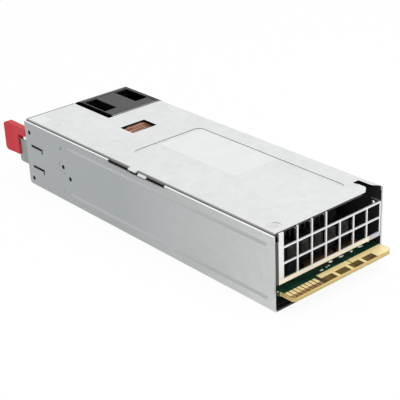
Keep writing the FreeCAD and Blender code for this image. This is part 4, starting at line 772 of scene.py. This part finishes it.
def solder_row():
    """Solder blobs on the board, just inside the grille."""
    board_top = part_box("main_board")[1].z
    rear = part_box("base_tray")[1].y
    bm = bmesh.new()
    for x, inwards, size, stretch in SOLDER:
        dome(bm, x * MM, rear - inwards * MM, board_top, size * MM, size * 0.5 * MM, stretch)
    mesh_piece("solder_joints", bm, "screw_steel")


def wall_rivet():
    """Bright rivet head on the inner face of the left wall, seen over the grille."""
    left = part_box("top_cover")[0].x
    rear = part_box("base_tray")[1].y
    radius, height = 1.5 * MM, 1.0 * MM
    from_left, inwards, up = 2.05 * MM, 4.4 * MM, 30.0 * MM
    bm = bmesh.new()
    dome(bm, 0.0, 0.0, 0.0, radius, height)
    place = Matrix.Translation((left + from_left, rear - inwards, up))
    bmesh.ops.transform(bm, matrix=place @ Matrix.Rotation(math.radians(90), 4, "Y"), verts=bm.verts)
    mesh_piece("wall_rivet", bm, "screw_steel")


def latch_leaf():
    """The latch's bowed leaf spring: its middle lies on the fan's side, its ends reach towards the latch
    plate.
    """
    low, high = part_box("latch_spring")
    thick = 0.25 * MM
    half = (high.y - low.y) / 2
    rise = high.x - low.x - thick
    bend = (half * half + rise * rise) / (2 * rise)
    middle = (low.y + high.y) / 2
    steps = 24
    rows = []
    bm = bmesh.new()
    for step in range(steps + 1):
        away = half * (2 * step / steps - 1)
        x = low.x + bend - math.sqrt(bend * bend - away * away)
        corners = [(x, low.z), (x + thick, low.z), (x + thick, high.z), (x, high.z)]
        rows.append([bm.verts.new((cx, middle + away, cz)) for cx, cz in corners])
    for a, b in zip(rows, rows[1:]):
        skin(bm, a, b)
    bm.faces.new(rows[0])
    bm.faces.new(rows[-1])
    leaf = mesh_piece("latch_leaf", bm, "spring_steel", body=None)
    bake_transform(leaf)
    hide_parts("latch_spring")


def blank_label():
    """The big label in the cover's recess, without its print."""
    recess_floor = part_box("top_cover")[1].z - 0.3 * MM
    outline = rounded_outline(-24.0 * MM, 5.8 * MM, -17.0 * MM, 42.0 * MM, 1.2 * MM)
    sheet_piece("blank_label", outline, recess_floor, 0.13 * MM, None, PAPER)


copper_turns()
solder_row()
wall_rivet()
latch_leaf()
blank_label()


# ------------------------------------------------------------------ stage
def seen_rays(tree):
    """1 for rays that show the background: to the camera, in a gloss or through glass."""
    path = tree.nodes.new("ShaderNodeLightPath")
    seen = path.outputs["Is Camera Ray"]
    for kind in ("Is Glossy Ray", "Is Transmission Ray"):
        either = tree.nodes.new("ShaderNodeMath")
        either.operation = "MAXIMUM"
        tree.links.new(seen, either.inputs[0])
        tree.links.new(path.outputs[kind], either.inputs[1])
        seen = either.outputs[0]
    return seen


def world():
    """White where it is seen, and a soft light on the object."""
    light, seen = 0.62, 1.0
    scene_world = bpy.data.worlds.new("studio")
    bpy.context.scene.world = scene_world
    scene_world.use_nodes = True
    tree = scene_world.node_tree
    back = tree.nodes["Background"]
    back.inputs["Color"].default_value = (1.0, 1.0, 1.0, 1.0)
    strength = tree.nodes.new("ShaderNodeMapRange")
    strength.inputs["To Min"].default_value = light
    strength.inputs["To Max"].default_value = seen
    tree.links.new(seen_rays(tree), strength.inputs["Value"])
    tree.links.new(strength.outputs["Result"], back.inputs["Strength"])


def floor():
    """Pale floor: mostly plain white where it is seen, with a share of matt paint that holds the shadow."""
    reach, gap, white_share = 4.0, 0.2 * MM, 0.93
    bm = bmesh.new()
    bmesh.ops.create_grid(bm, x_segments=1, y_segments=1, size=reach)
    mesh = bpy.data.meshes.new("floor")
    bm.to_mesh(mesh)
    bm.free()
    obj = bpy.data.objects.new("floor", mesh)
    obj.location.z = cad_box[0].z - gap
    bpy.context.scene.collection.objects.link(obj)
    material = bpy.data.materials.new("floor")
    material.use_nodes = True
    tree = material.node_tree
    tree.nodes.remove(tree.nodes["Principled BSDF"])
    out = tree.nodes["Material Output"]
    matt = tree.nodes.new("ShaderNodeBsdfDiffuse")
    matt.inputs["Color"].default_value = (0.95, 0.95, 0.95, 1.0)
    white = tree.nodes.new("ShaderNodeEmission")
    white.inputs["Color"].default_value = (1.0, 1.0, 1.0, 1.0)
    share = tree.nodes.new("ShaderNodeMath")
    share.operation = "MULTIPLY"
    share.inputs[1].default_value = white_share
    tree.links.new(seen_rays(tree), share.inputs[0])
    mixer = tree.nodes.new("ShaderNodeMixShader")
    tree.links.new(share.outputs[0], mixer.inputs["Fac"])
    tree.links.new(matt.outputs[0], mixer.inputs[1])
    tree.links.new(white.outputs[0], mixer.inputs[2])
    tree.links.new(mixer.outputs[0], out.inputs["Surface"])
    mesh.materials.append(material)


def lamp(name, location, target, size, power):
    """A square soft lamp turned towards a point."""
    data = bpy.data.lights.new(name, "AREA")
    data.size = size
    data.energy = power
    obj = bpy.data.objects.new(name, data)
    obj.location = location
    way = Vector(target) - Vector(location)
    obj.rotation_euler = way.to_track_quat("-Z", "Y").to_euler()
    bpy.context.scene.collection.objects.link(obj)


def camera():
    """Three-quarter view from the rear right and above, as the photograph has it."""
    azimuth = math.radians(140.33)
    elevation = math.radians(25.75)
    roll = math.radians(-2.68)
    distance = 0.6116
    aside, above = 0.0043, 0.0096  # of the object's middle, which moves it in the frame
    focal_pixels, image_pixels = 1133.7, 400
    ahead = Vector((-math.sin(azimuth) * math.cos(elevation),
                    math.cos(azimuth) * math.cos(elevation), -math.sin(elevation)))
    flat = Vector((math.cos(azimuth), math.sin(azimuth), 0.0))
    lift = flat.cross(ahead)
    right = flat * math.cos(roll) + lift * math.sin(roll)
    up = lift * math.cos(roll) - flat * math.sin(roll)
    data = bpy.data.cameras.new("camera")
    data.sensor_width = 36.0
    data.lens = focal_pixels / image_pixels * data.sensor_width
    data.clip_start = 0.01
    obj = bpy.data.objects.new("camera", data)
    place = ahead * -distance + right * aside + up * above
    turn = Matrix((right, up, -ahead)).transposed().to_4x4()
    obj.matrix_world = Matrix.Translation(place) @ turn
    bpy.context.scene.collection.objects.link(obj)
    bpy.context.scene.camera = obj


world()
floor()
camera()
lamp("key", location=(-0.1, 0.25, 1.3), target=(0, 0, 0), size=1.1, power=8.8)
lamp("side", location=(0.9, 0.9, 0.5), target=(0, 0.05, 0.02), size=0.7, power=2.8)
bpy.context.scene.view_settings.view_transform = "Standard"
